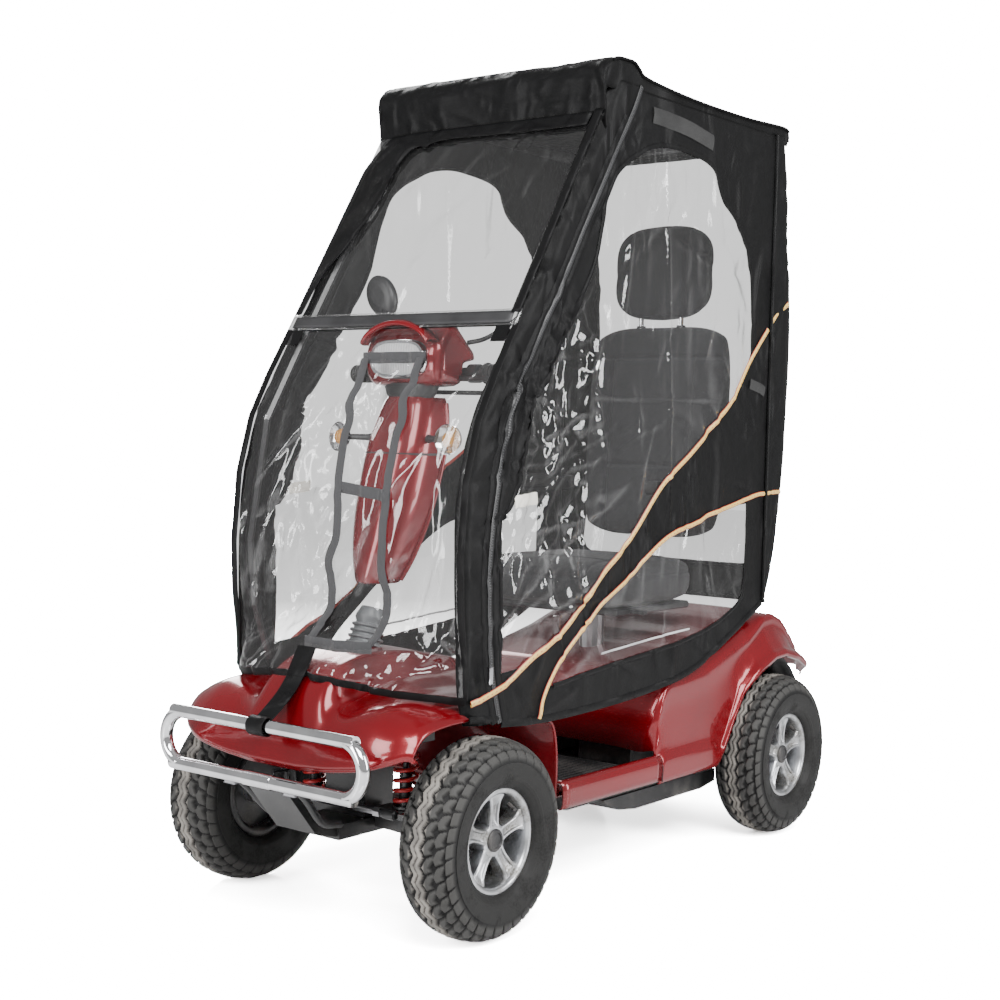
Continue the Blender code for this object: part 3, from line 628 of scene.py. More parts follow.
def studio_floor():
    """White floor that keeps soft shadows and a faint reflection."""
    made, tree, shader = blank("studio_floor")
    place = add_node(tree, "ShaderNodeNewGeometry").outputs["Position"]
    distance = add_node(tree, "ShaderNodeVectorMath", {0: place}, operation="LENGTH").outputs["Value"]
    fading = ramp(tree, distance, 1.4, 4.0, FLOOR_GAIN, 5.0 * FLOOR_GAIN)
    gain = seen_white(tree, fading, FLOOR_GAIN_THROUGH_FILM, 0.85)
    grey = add_node(tree, "ShaderNodeCombineColor", {0: gain, 1: gain, 2: gain}).outputs[0]
    flat = add_node(tree, "ShaderNodeBsdfDiffuse", {"Color": grey})
    gloss = add_node(tree, "ShaderNodeBsdfGlossy", {"Color": grey, "Roughness": 0.12})
    facing = add_node(tree, "ShaderNodeLayerWeight", {"Blend": 0.25})
    share = ramp(tree, facing.outputs["Facing"], 0.3, 1.0, 0.05, 0.45)
    mixed = add_node(tree, "ShaderNodeMixShader", {0: share, 1: flat.outputs[0], 2: gloss.outputs[0]})
    tree.links.new(mixed.outputs[0], tree.nodes["Material Output"].inputs["Surface"])
    tree.nodes.remove(shader)
    return made


RED = red_lacquer()
BLACK_PLASTIC = moulded("black_plastic", (0.014, 0.014, 0.015, 1))
RUBBER = moulded("grip_rubber", (0.010, 0.010, 0.010, 1), 380.0, (0.62, 0.85), 0.4)
GREY_BOOT = moulded("boot_rubber", (0.10, 0.105, 0.11, 1), 500.0, (0.38, 0.6))
FLOOR_MAT = moulded("floor_mat", (0.020, 0.020, 0.021, 1), 300.0, (0.6, 0.8), 0.4)
TYRE = tyre_rubber()
ALLOY = metal("silver_alloy", (0.62, 0.63, 0.65, 1), (0.30, 0.55), strength=0.10)
CHROME = metal("bright_chrome", (0.88, 0.88, 0.90, 1), (0.07, 0.3), strength=0.02)
ZINC = metal("zinc_steel", (0.52, 0.52, 0.54, 1), (0.34, 0.6))
MIRROR_GLASS = metal("mirror_glass", (0.86, 0.88, 0.90, 1), (0.03, 0.12), strength=0.01)
BLACK_STEEL = coated_steel("black_steel", (0.012, 0.012, 0.013, 1))
RED_STEEL = coated_steel("red_spring_steel", (0.42, 0.012, 0.014, 1))
NYLON = canopy_nylon()
VINYL = clear_vinyl()
SEAT_CLOTH = seat_cloth()
WEBBING = webbing()
PIPING = reflective_piping()
ZIP = zip_teeth()
CLEAR_LENS = lamp_glass("clear_lens", (0.80, 0.82, 0.84, 1))
AMBER_LENS = lamp_glass("amber_bulb", (0.95, 0.42, 0.05, 1))
RED_LENS = lamp_glass("red_lens", (0.55, 0.010, 0.012, 1))
TAB_CLOTH = moulded("pale_tab", (0.55, 0.53, 0.48, 1), 800.0, (0.6, 0.8))
STITCH_GREY = moulded("pale_stitching", (0.42, 0.42, 0.43, 1), 900.0, (0.5, 0.7))
BAR_GREY = moulded("bar_cloth", (0.016, 0.016, 0.017, 1), 1200.0, (0.5, 0.7))


# ---------------------------------------------------------------- wheels


TREAD_PITCH = 0.0290
STEPS_PER_PITCH = 14
GROOVE_DEPTH = 0.0058
TYRE_HALF_WIDTH = 0.0535


def tyre(end, block_rows):
    """A tyre as one turned grid whose tread blocks stand up between zigzag grooves."""
    section = [(-0.036, 0.0845), (-0.045, 0.091), (-0.0515, 0.105), (-0.0535, 0.122), (-0.0515, 0.138),
               (-0.045, 0.1505), (-0.032, 0.1595), (-0.015, 0.1635), (0.0, 0.1645)]
    section += [(-x, r) for x, r in section[-2::-1]]
    across = curve_through(section, 163)
    reach = np.concatenate([[0], np.cumsum(np.linalg.norm(np.diff(across, axis=0), axis=1))])
    v = reach - reach[len(reach) // 2]
    steps = round(2 * math.pi * WHEEL_R / TREAD_PITCH) * STEPS_PER_PITCH
    turns = np.arange(steps) * 2 * math.pi / steps
    u = np.arange(steps) / STEPS_PER_PITCH
    depth = np.zeros((len(turns), len(v)))
    for row, (low, high, shift, zigzag) in enumerate(block_rows):
        for side in (1, -1):
            start = shift + (0.5 if side < 0 else 0)
            wave = zigzag * (2 * np.abs((u + start) % 1 - 0.5) - 0.5)
            inner, outer = low + wave, high + wave * (row < len(block_rows) - 1)
            place = side * v
            inside = eased(0, 0.0016, place[None] - inner[:, None]) * eased(0, 0.0016,
                                                                            outer[:, None] - place[None])
            across_row = (place[None] - low) / (high - low)
            gap = np.abs((u[:, None] + start + 0.22 * across_row + 0.5) % 1 - 0.5)
            split = 1 if low == 0 else eased(0.04, 0.10, gap)
            depth = np.maximum(depth, inside * split)
    tread = eased(0.073, 0.066, np.abs(v))
    radius = across[:, 1][None] - GROOVE_DEPTH * tread[None] * (1 - depth)
    for ring in (0.098, 0.1015, 0.130):
        bead = np.exp(-(((across[:, 1] - ring) / 0.0011) ** 2)) * (np.abs(across[:, 0]) > 0.04)
        across[:, 0] += np.sign(across[:, 0]) * 0.0009 * bead
    x = np.broadcast_to(np.clip(across[:, 0], -TYRE_HALF_WIDTH, TYRE_HALF_WIDTH)[None], radius.shape)
    flat = np.minimum(radius, WHEEL_R)
    grid = np.stack([x, flat * np.cos(turns)[:, None], flat * np.sin(turns)[:, None]], axis=2)
    # First UV value: 1 on the tread blocks, 0 in the grooves, 0.16 on the walls; the rubber's colour uses
    # it to paint shade into the grooves
    worn = tread * depth + 0.16 * (1 - tread)
    middle = eased(0.0175, 0.0125, np.abs(v))[None] * eased(0.5, 0.9, depth) * tread
    return skin(f"tyre_{end}", grid, TYRE, wrap_rows=True, uv=np.stack([worn.ravel(), middle.ravel()],
                                                                       axis=1))


def rim():
    """A five-spoke cast wheel: dished barrel, recessed spokes, dark hub cap and a valve."""
    lip = [(-0.034, 0.070), (-0.036, 0.084), (-0.033, 0.0865), (-0.029, 0.082), (0.026, 0.080),
           (0.030, 0.0855), (0.0345, 0.0875), (0.0375, 0.0865), (0.0385, 0.083), (0.0375, 0.0785),
           (0.034, 0.0755), (0.026, 0.0735), (0.012, 0.0715), (-0.010, 0.070)]
    barrel = []
    turns = np.arange(96) * 2 * math.pi / 96
    for d, r in rounded(lip, 0.0015, 3):
        barrel.append(np.stack([np.full(96, d), r * np.cos(turns), r * np.sin(turns)], axis=1))
    pieces = [outward(shape("rim_barrel", np.concatenate(barrel), grid_faces(len(barrel), 96, True, True),
                            ALLOY))]
    back = [(-0.012, 0.001), (-0.012, 0.0705), (-0.008, 0.0705), (-0.006, 0.001)]
    pieces.append(turned("rim_back", back, (0, 0, 0), (1, 0, 0), BLACK_STEEL, 64))
    inner_lip = [(-0.0310, 0.0770 * math.cos(a), 0.0770 * math.sin(a))
                 for a in np.arange(64) * 2 * math.pi / 64]
    pieces.append(tube("rim_inner_lip", inner_lip, 0.0088, BLACK_STEEL, closed=True, steps=14))
    for k in range(5):
        turn = 2 * math.pi * (k + 0.25) / 5
        out = np.array([0, math.cos(turn), math.sin(turn)])
        side = np.array([0, -math.sin(turn), math.cos(turn)])
        loops = []
        for r, half, face, hollow in ((0.014, 0.0125, 0.027, 0.0), (0.024, 0.0125, 0.0275, 0.0005),
                                      (0.030, 0.0118, 0.027, 0.004), (0.042, 0.0112, 0.0275, 0.005),
                                      (0.056, 0.0120, 0.029, 0.005), (0.064, 0.0142, 0.030, 0.003),
                                      (0.070, 0.0185, 0.031, 0.0005), (0.076, 0.0240, 0.031, 0.0)):
            outline = [(-1.0, 0.004), (-1.0, face - 0.003), (-0.86, face), (-0.58, face),
                       (-0.46, face - hollow), (0.46, face - hollow), (0.58, face), (0.86, face),
                       (1.0, face - 0.003), (1.0, 0.004)]
            loops.append([out * r + side * half * a + np.array([d, 0, 0]) for a, d in outline])
        pieces.append(bevelled(capped(f"rim_spoke_{k}", loops, ALLOY), 0.0008, 2))
    hub = [(-0.028, 0.026), (0.020, 0.029), (0.026, 0.0265), (0.0275, 0.0215), (0.0275, 0.0195)]
    pieces.append(turned("rim_hub", hub, (0, 0, 0), (1, 0, 0), ALLOY, 48))
    cap = [(0.020, 0.019), (0.0295, 0.0185), (0.0315, 0.0165), (0.0318, 0.013), (0.0300, 0.012),
           (0.0298, 0.001)]
    pieces.append(turned("rim_cap", cap, (0, 0, 0), (1, 0, 0), BLACK_PLASTIC, 40))
    stem = [(0.024, 0.040, 0.0520), (0.033, 0.037, 0.0485), (0.040, 0.035, 0.0460)]
    pieces.append(tube("rim_valve", stem, 0.0032, BLACK_PLASTIC))
    return joined("rim", *pieces)


def wheels():
    front = tyre("front", ((0.0, 0.0100, 0.0, 0.008), (0.0145, 0.0290, 0.0, 0.008),
                           (0.0330, 0.0470, 0.5, 0.006), (0.0500, 0.0640, 0.9, 0.0)))
    rear = tyre("rear", ((0.0, 0.0085, 0.0, 0.006), (0.0125, 0.0265, 0.0, 0.006),
                         (0.0305, 0.0445, 0.5, 0.005), (0.0480, 0.0620, 0.1, 0.0)))
    cast = rim()
    for end, y, rubber in (("front", FRONT_Y, front), ("rear", REAR_Y, rear)):
        for side, s in SIDES:
            for kind, source, label in (("tyre", rubber, "tyre"), ("rim", cast, "alloy")):
                copy = bpy.data.objects.new(f"{kind}_{end}_{side}_surface", source.data)
                bpy.context.collection.objects.link(copy)
                copy.location = (s * TRACK_X, y, WHEEL_R)
                copy.rotation_euler = (0, 0, 0 if s > 0 else math.pi)
                fit(copy, f"wheel_{end}_{side}", f"{kind}_{end}_{side}")
    for source in (front, rear, cast):
        bpy.data.objects.remove(source)


# ---------------------------------------------------------------- running gear and bumper


def bumper_hoop():
    half = (BUMPER_TOP_Z - BUMPER_LOW_Z) / 2
    middle = (BUMPER_TOP_Z + BUMPER_LOW_Z) / 2
    reach = 0.2240 - half
    path = []
    for s, start in ((1, -90), (-1, 90)):
        for angle in np.radians(np.linspace(start, start + 180, 17)):
            path.append((s * reach + half * math.cos(angle), BUMPER_Y, middle + half * math.sin(angle)))
    path = curve_through(path, 220, closed=True)
    hoop = tube("bumper_hoop", path, 0.0112, CHROME, closed=True, steps=28)
    sleeve = tube("bumper_sleeve", [(-0.030, BUMPER_Y, BUMPER_LOW_Z), (0.030, BUMPER_Y, BUMPER_LOW_Z)],
                  0.0122, CHROME, steps=28)
    stays = []
    for s in (1, -1):
        stays.append(tube(f"bumper_stay_{s}",
                          curve_through([(s * 0.052, -0.560, 0.168), (s * 0.058, -0.610, 0.180),
                                         (s * 0.066, -0.655, 0.225), (s * 0.068, -0.684, 0.250)], 16),
                          0.0065, BLACK_STEEL))
        stays.append(block(f"bumper_clip_{s}", (s * 0.068 - 0.012, -0.697, 0.2385),
                           (s * 0.068 + 0.012, -0.679, 0.2430), ZINC, 0.001))
    fit(joined("bumper_tubes", hoop, sleeve, *stays), "chassis", "front_bumper")


def coil_springs():
    """Red coil springs over a damper."""
    for side, s in SIDES:
        x, low, high = s * 0.105, 0.1872, 0.2994
        turns = np.linspace(0, 2 * math.pi * 6.5, 260)
        climb = low + 0.006 + (high - low - 0.012) * np.clip((turns / turns[-1] - 0.04) / 0.92, 0, 1)
        path = np.stack([x + 0.0185 * np.cos(turns), FRONT_Y + 0.0185 * np.sin(turns), climb], axis=1)
        coil = tube(f"coil_{side}", path, 0.0034, RED_STEEL, steps=10)
        damper = turned(f"damper_{side}", [(0.004, 0.011), (0.060, 0.011), (0.061, 0.005), (0.108, 0.005)],
                        (x, FRONT_Y, low), (0, 0, 1), BLACK_STEEL, 20)
        seats = []
        for k, z in enumerate((low, high - 0.004)):
            seats.append(turned(f"spring_seat_{side}_{k}", [(0.0, 0.0205), (0.004, 0.0205)],
                                (x, FRONT_Y, z), (0, 0, 1), BLACK_STEEL, 24))
        spring = joined(f"spring_{side}_coil", coil, damper, *seats)
        fit(spring, "chassis", f"spring_{side}")
        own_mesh(spring)


def track_rod():
    centre = np.array([0, -0.529, 0.192])
    rod = turned("track_rod_bar", [(-0.115, 0.0058), (0.115, 0.0058)], centre, (1, 0, 0), ZINC, 20)
    ends = []
    for s in (1, -1):
        ends.append(turned(f"track_rod_nut_{s}", [(0.100, 0.0085), (0.114, 0.0085)], centre, (s, 0, 0),
                           ZINC, 6))
        ends.append(turned(f"track_rod_end_{s}", [(0.114, 0.007), (0.128, 0.0088), (0.145, 0.0088),
                                                  (0.1475, 0.006)], centre,
                           (s, 0, 0), BLACK_STEEL, 20))
    fit(joined("track_rod", rod, *ends), "tie_rod", "tie_rod")


def hidden_gear():
    """The model's own frame, axle, battery and seat hardware show only in part, and keep their shapes."""
    for name in ("chassis_frame", "front_subframe", "transaxle", "motor", "arm_left", "arm_right",
                 "knuckle_left", "knuckle_right", "seat_base", "hoop_front", "hoop_rear"):
        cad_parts[name].data.materials[0] = BLACK_STEEL
    for name in ("battery_tray", "battery_pack", "controller", "swivel_lever"):
        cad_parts[name].data.materials[0] = BLACK_PLASTIC
    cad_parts["seat_post"].data.materials[0] = ZINC


# ---------------------------------------------------------------- red body panels

# |x|, then (y, z) from the nose tip to the rear edge of the top
NOSE_LINES = (
    (0.000, ((-0.668, 0.283), (-0.659, 0.310), (-0.643, 0.350), (-0.622, 0.392), (-0.596, 0.424),
             (-0.560, 0.441), (-0.505, 0.450), (-0.415, 0.446), (-0.310, 0.425))),
    (0.046, ((-0.668, 0.283), (-0.659, 0.310), (-0.643, 0.348), (-0.623, 0.390), (-0.597, 0.421),
             (-0.560, 0.438), (-0.505, 0.447), (-0.415, 0.443), (-0.310, 0.424))),
    (0.068, ((-0.667, 0.284), (-0.658, 0.3095), (-0.643, 0.346), (-0.6235, 0.383), (-0.598, 0.412),
             (-0.560, 0.431), (-0.505, 0.441), (-0.415, 0.438), (-0.310, 0.421))),
    (0.088, ((-0.667, 0.286), (-0.657, 0.308), (-0.644, 0.338), (-0.628, 0.360), (-0.602, 0.375),
             (-0.560, 0.388), (-0.505, 0.398), (-0.415, 0.404), (-0.310, 0.406))),
    (0.112, ((-0.667, 0.288), (-0.657, 0.309), (-0.645, 0.335), (-0.629, 0.356), (-0.602, 0.369),
             (-0.560, 0.380), (-0.505, 0.391), (-0.415, 0.399), (-0.310, 0.402))),
    (0.150, ((-0.665, 0.293), (-0.655, 0.313), (-0.643, 0.339), (-0.627, 0.361), (-0.601, 0.376),
             (-0.560, 0.385), (-0.505, 0.390), (-0.415, 0.392), (-0.310, 0.392))),
    (0.190, ((-0.660, 0.300), (-0.650, 0.319), (-0.638, 0.343), (-0.621, 0.364), (-0.594, 0.380),
             (-0.555, 0.387), (-0.505, 0.389), (-0.415, 0.387), (-0.310, 0.380))),
    (0.225, ((-0.646, 0.311), (-0.638, 0.325), (-0.628, 0.343), (-0.612, 0.359), (-0.588, 0.371),
             (-0.552, 0.378), (-0.505, 0.379), (-0.415, 0.378), (-0.310, 0.370))),
    (0.246, ((-0.630, 0.319), (-0.624, 0.329), (-0.616, 0.342), (-0.602, 0.354), (-0.580, 0.362),
             (-0.548, 0.367), (-0.505, 0.369), (-0.415, 0.369), (-0.310, 0.359))),
    (0.256, ((-0.622, 0.318), (-0.617, 0.326), (-0.610, 0.336), (-0.597, 0.346), (-0.577, 0.353),
             (-0.546, 0.357), (-0.505, 0.359), (-0.415, 0.359), (-0.310, 0.348))),
    (0.258, ((-0.621, 0.314), (-0.616, 0.322), (-0.609, 0.332), (-0.596, 0.342), (-0.576, 0.349),
             (-0.546, 0.353), (-0.505, 0.355), (-0.415, 0.355), (-0.310, 0.344))),
)


def nose_and_fenders():
    """The front cowl: a bulge between two fenders, a rolled lip, and the footwell's front wall."""
    lines = [(-x, line) for x, line in reversed(NOSE_LINES[1:])] + list(NOSE_LINES)
    rows = []
    for x, line in lines:
        tip_y, tip_z = line[0]
        under = [(x * 0.985, tip_y + 0.016, tip_z - 0.010), (x, tip_y + 0.003, tip_z - 0.007)]
        rows.append(under + [(x, y, z) for y, z in line])
    fine = refined(rows, 150, 90)
    top = thickened(skin("cowl_top", fine, RED), 0.003)
    wall_rows = []
    for x, line in lines:
        y, z = line[-1]
        wall_rows.append([(x, y, z), (x, y + 0.030, z - 0.014), (x, -0.252, 0.320), (x, -0.2385, 0.270),
                          (x, -0.2376, 0.190)])
    wall = thickened(skin("cowl_wall", refined(wall_rows, 90, 40), RED), 0.003)
    lip = tube("cowl_lip", curve_through([(x * 0.995, line[0][0] + 0.004, line[0][1] - 0.006) for x,
                                          line in lines], 90), 0.0042, RED)
    fit(joined("front_cowl_skin", top, wall, lip), "chassis", "front_cowl")
    # A black sheet just under the cowl's skin darkens the inside of the nose: painted shade
    under = thickened(skin("cowl_shade_sheet", fine[3:-3, 6:-2] - (0, 0, 0.0035), BLACK_PLASTIC), 0.001)
    fit(under, "chassis")


def footwell_floor():
    """The red floor pan with raised, rounded sills, and a ribbed rubber mat."""
    section = [(-0.262, 0.170), (-0.270, 0.176), (-0.2705, 0.206), (-0.266, 0.217), (-0.256, 0.2175),
               (-0.248, 0.210), (-0.242, 0.192), (-0.234, 0.186), (-0.100, 0.1855), (0.0, 0.1855)]
    section += [(-x, z) for x, z in section[-2::-1]]
    profile = curve_through(section, 90)
    rows = [[(x, y, z) for x, z in profile] for y in np.linspace(-0.2358, 0.088, 16)]
    pan = thickened(skin("floor_pan_skin", rows, RED, flip=True), 0.003)
    fit(pan, "chassis", "floor_pan")
    mat = block("floor_mat", (-0.222, -0.225, 0.1870), (0.222, 0.080, 0.1895), FLOOR_MAT, 0.001, 2)
    ribs = [block(f"mat_rib_{k}", (-0.212, y, 0.1890), (0.212, y + 0.004, 0.1910), FLOOR_MAT, 0.0008, 2)
            for k, y in enumerate(np.linspace(-0.214, 0.066, 24))]
    fit(joined("floor_mat_ribbed", mat, *ribs), "chassis")


SHROUD_TOP = ((0.086, 0.225), (0.094, 0.290), (0.110, 0.340), (0.140, 0.366), (0.230, 0.391),
              (0.340, 0.414), (0.400, 0.433), (0.470, 0.452), (0.521, 0.461), (0.579, 0.446),
              (0.640, 0.400), (0.690, 0.350), (0.7125, 0.331))
SHROUD_CREASE = ((0.086, 0.222), (0.094, 0.282), (0.110, 0.330), (0.140, 0.346), (0.200, 0.348),
                 (0.271, 0.358), (0.345, 0.380), (0.439, 0.406), (0.474, 0.427), (0.500, 0.444),
                 (0.540, 0.448), (0.579, 0.434), (0.640, 0.386), (0.7125, 0.322))
SHROUD_LOW = ((0.086, 0.166), (0.305, 0.166), (0.325, 0.186), (0.345, 0.214), (0.373, 0.258),
              (0.396, 0.302), (0.420, 0.324), (0.447, 0.341), (0.509, 0.364), (0.555, 0.367),
              (0.620, 0.352), (0.684, 0.325), (0.7125, 0.308))


def rear_shell():
    """The rear shroud: a boxy red shell, creased along each flank, with a flared arch over each wheel."""
    stations = np.concatenate([np.linspace(0.086, 0.32, 26), np.linspace(0.326, 0.46, 32),
                               np.linspace(0.466, 0.7125, 44)])
    rows = []
    for y in stations:
        top, crease, low = (np.interp(y, *np.transpose(line)) for line in (SHROUD_TOP, SHROUD_CREASE,
                                                                           SHROUD_LOW))
        low = min(low, crease - 0.016)
        step = low + min(0.012 + 0.033 * float(eased(0.33, 0.29, y)), 0.3 * (crease - low))
        wide = float(np.interp(y, (0.086, 0.60, 0.66, 0.7125), (0.268, 0.268, 0.262, 0.238)))
        flare = 0.016 * float(eased(0.36, 0.45, y)) * float(eased(0.7125, 0.66, y))
        half = [(0.0, top), (wide * 0.35, top - 0.0005), (wide * 0.66, top - 0.002),
                (wide * 0.80, top - 0.005), (wide * 0.885, (top * 0.55 + crease * 0.45)),
                (wide * 0.935, crease + 0.004), (wide * 0.942, crease - 0.003),
                (wide * 0.938, crease * 0.75 + low * 0.25),
                (wide * 0.949 + flare * 0.4, crease * 0.42 + low * 0.58),
                (wide * 0.960 + flare * 0.8, step + 0.005), (wide * 0.980 + flare, step),
                (wide * 0.988 + flare, low + 0.006), (wide * 0.988 + flare, low),
                (wide * 0.968 + flare, low - 0.001)]
        side = curve_through(half, 60)
        rows.append([(-x, y, z) for x, z in side[::-1]] + [(x, y, z) for x, z in side[1:]])
    fit(thickened(skin("rear_shroud_skin", rows, RED, flip=True), 0.003), "chassis", "rear_shroud")
    inner = []
    for side, s in SIDES:
        arch = []
        for angle in np.radians(np.linspace(20, 178, 24)):
            arch.append([(s * x, REAR_Y + 0.186 * math.cos(angle), 0.160 + 0.212 * math.sin(angle))
                         for x in (0.170, 0.210, 0.252)])
        inner.append(thickened(skin(f"rear_arch_{side}", arch, BLACK_PLASTIC), 0.003))
        wall = []
        for (_, y, z), *_ in arch:
            foot = min(z, 0.235)
            wall.append([(s * 0.171, y, height) for height in (z, 0.5 * (z + foot), foot)])
        inner.append(thickened(skin(f"rear_arch_wall_{side}", wall, BLACK_PLASTIC), 0.002))
    fit(joined("rear_arch_liners", *inner), "chassis")
    seams = []
    for side, s in SIDES:
        path = curve_through([(s * 0.2712, 0.0875, 0.170), (s * 0.2718, 0.0875, 0.200),
                              (s * 0.262, 0.0875, 0.2180)], 12)
        seams.append(tube(f"sill_seam_{side}", path, 0.0012, BLACK_PLASTIC, steps=8))
    fit(joined("sill_seams", *seams), "chassis")


def rear_lamp():
    outline = rounded([(0.7040, 0.3835), (0.7110, 0.3800), (0.7118, 0.3625), (0.7075, 0.3625)], 0.002, 4)
    lens = capped("tail_lamp_lens",
                  [[(x, y, z) for y, z in outline] for x in np.linspace(-0.100, 0.100, 3)], RED_LENS)
    fit(lens, "chassis", "tail_light")


# ---------------------------------------------------------------- canopy

# Lines on the canopy's side, as (y, z) points
DOOR_TOP_Z = 1.440
PILLAR_FRONT = ((-0.492, 0.348), (-0.508, 0.400), (-0.514, 0.500), (-0.518, 0.617), (-0.512, 0.730),
                (-0.483, 0.836), (-0.440, 0.915), (-0.396, 0.985), (-0.383, 1.003), (-0.266, 1.193),
                (-0.149, 1.3845), (-0.140, 1.415), (-0.122, 1.4465))
ZIP_LINE = ((-0.412, 0.345), (-0.436, 0.440), (-0.444, 0.560), (-0.441, 0.640), (-0.424, 0.743),
            (-0.400, 0.850), (-0.350, 0.945), (-0.277, 1.062), (-0.205, 1.180), (-0.134, 1.290),
            (-0.072, 1.385), (-0.040, 1.446))
SKIRT = ((-0.408, 0.343), (-0.296, 0.336), (-0.116, 0.339), (0.050, 0.350), (0.199, 0.372), (0.350, 0.430),
         (0.4685, 0.484))
UPPER_PIPING = ((-0.490, 0.384), (-0.450, 0.392), (-0.396, 0.406), (-0.328, 0.443), (-0.256, 0.474),
                (-0.197, 0.515), (-0.129, 0.575), (-0.072, 0.612), (-0.021, 0.656), (0.061, 0.732),
                (0.165, 0.793), (0.257, 0.853), (0.322, 0.899), (0.392, 0.981), (0.457, 1.045))
LOWER_PIPING = ((-0.303, 0.338), (-0.295, 0.368), (-0.276, 0.398), (-0.241, 0.437), (-0.181, 0.482),
                (-0.126, 0.522), (-0.032, 0.568), (0.005, 0.594), (0.087, 0.634), (0.182, 0.655),
                (0.250, 0.673), (0.331, 0.687), (0.428, 0.706), (0.464, 0.709))
WINDOW_TOP = ((-0.413, 0.425), (-0.413, 0.555), (-0.420, 0.668), (-0.398, 0.690), (-0.362, 0.760),
              (-0.342, 0.872), (-0.322, 0.890), (-0.280, 0.948), (-0.240, 1.020), (-0.200, 1.078),
              (-0.172, 1.130), (-0.146, 1.215), (-0.120, 1.272), (-0.085, 1.303), (-0.044, 1.325),
              (0.000, 1.345), (0.060, 1.357), (0.120, 1.357), (0.190, 1.350), (0.228, 1.335),
              (0.243, 1.308), (0.262, 1.284), (0.318, 1.247), (0.350, 1.207), (0.378, 1.158),
              (0.389, 1.091), (0.395, 0.995))
LOWER_WINDOW = ((0.396, 0.690), (0.397, 0.600), (0.393, 0.520), (0.370, 0.488), (0.273, 0.452),
                (0.178, 0.433), (0.063, 0.421), (-0.120, 0.405), (-0.265, 0.390))


def in_outline(points, outline):
    """Which points lie inside a closed outline."""
    x, y = points[:, 0], points[:, 1]
    inside = np.zeros(len(points), bool)
    for (x0, y0), (x1, y1) in zip(outline, np.roll(outline, -1, axis=0)):
        if y0 != y1:
            inside ^= ((y0 > y) != (y1 > y)) & (x < (x1 - x0) * (y - y0) / (y1 - y0) + x0)
    return inside


def cut_sheet(outline, windows, step):
    """A flat sheet cut to an outline and meshed so that each window's edge is a line of its mesh.

    Gives the points, and the faces of the cloth and of each window.
    """
    border = [curve_evenly(outline, step)] + [curve_evenly(window, step) for window in windows]
    low, high = border[0].min(axis=0), border[0].max(axis=0)
    across = np.arange(low[0] + step / 2, high[0], step)
    up = np.arange(low[1] + step / 2, high[1], step * 0.9)
    filler = np.array([(a + (step / 2 if k % 2 else 0), b) for k, b in enumerate(up) for a in across])
    filler = filler[in_outline(filler, border[0])]
    edges = np.concatenate(border)
    gap = np.min([np.linalg.norm(filler - edges[k : k + 1], axis=1) for k in range(len(edges))], axis=0)
    filler = filler[gap > step * 0.55]
    points = np.concatenate([edges, filler])
    links, start = [], 0
    for line in border:
        count = len(line)
        links += [(start + k, start + (k + 1) % count) for k in range(count)]
        start += count
    found = delaunay_2d_cdt([Vector(p) for p in points], links, [], 0, 1e-6)
    flat = np.array([tuple(p) for p in found[0]])
    faces = [tuple(face) for face in found[2]]
    middles = np.array([flat[list(face)].mean(axis=0) for face in faces])
    kept = in_outline(middles, border[0])
    shares = [[] for _ in range(len(windows) + 1)]
    inside = [in_outline(middles, line) for line in border[1:]]
    for k, face in enumerate(faces):
        if kept[k]:
            share = next((w + 1 for w in range(len(windows)) if inside[w][k]), 0)
            shares[share].append(face)
    return flat, shares


def curve_evenly(outline, step):
    """A closed outline's points at about one spacing, its corners kept."""
    out = []
    for start, end in zip(outline, np.roll(outline, -1, axis=0)):
        count = max(1, round(float(np.linalg.norm(np.subtract(end, start))) / step))
        out += [np.add(start, np.subtract(end, start) * k / count) for k in range(count)]
    return np.array(out)


def used_part(name, points, faces, finish):
    """A piece from some of the faces over a shared list of points."""
    used = sorted({corner for face in faces for corner in face})
    order = {corner: k for k, corner in enumerate(used)}
    return shape(name, points[used], [tuple(order[c] for c in face) for face in faces], finish)


def side_bulge(at, s):
    """How far slack cloth and film stand out from the side's flat plane at (y, z) points."""
    y, z = at[:, 0], at[:, 1]
    rear = eased(0.36, 0.44, y)
    top = eased(1.34, 1.43, z)
    slack = 0.006 * np.sin((y + 0.30) * 5.2) * np.sin((z - 0.35) * 3.4)
    seed = 11 if s > 0 else 23
    cloth = creases(at, seed, 140, ((-0.52, 0.34), (0.47, 1.44)), 0.010, 0.0046, 1.2, 0.8)
    drawn = creases(at, seed + 1, 120, ((-0.42, 0.50), (-0.16, 1.02)), 0.0055, 0.0062, 1.05, 0.6)
    fold = (0.0045 * np.exp(-(((y - 0.055 - 0.05 * (1.34 - z)) / 0.004) ** 2))
            * eased(0.62, 0.70, z) * eased(1.36, 1.30, z))
    level = (0.0045 * np.exp(-(((z - 0.893 - 0.02 * y) / 0.004) ** 2))
             * eased(-0.22, -0.15, y) * eased(0.32, 0.25, y))
    held = 1 - np.maximum(rear * 0.75, top * 0.8)
    return (slack + cloth + drawn) * held + fold + level


def place_side(at, s, lift=0.0):
    """Points of a side sheet in space from (y, z) points."""
    x = CANOPY_X + 0.001 + side_bulge(at, s) + lift
    return np.stack([s * x, at[:, 0], at[:, 1]], axis=1)


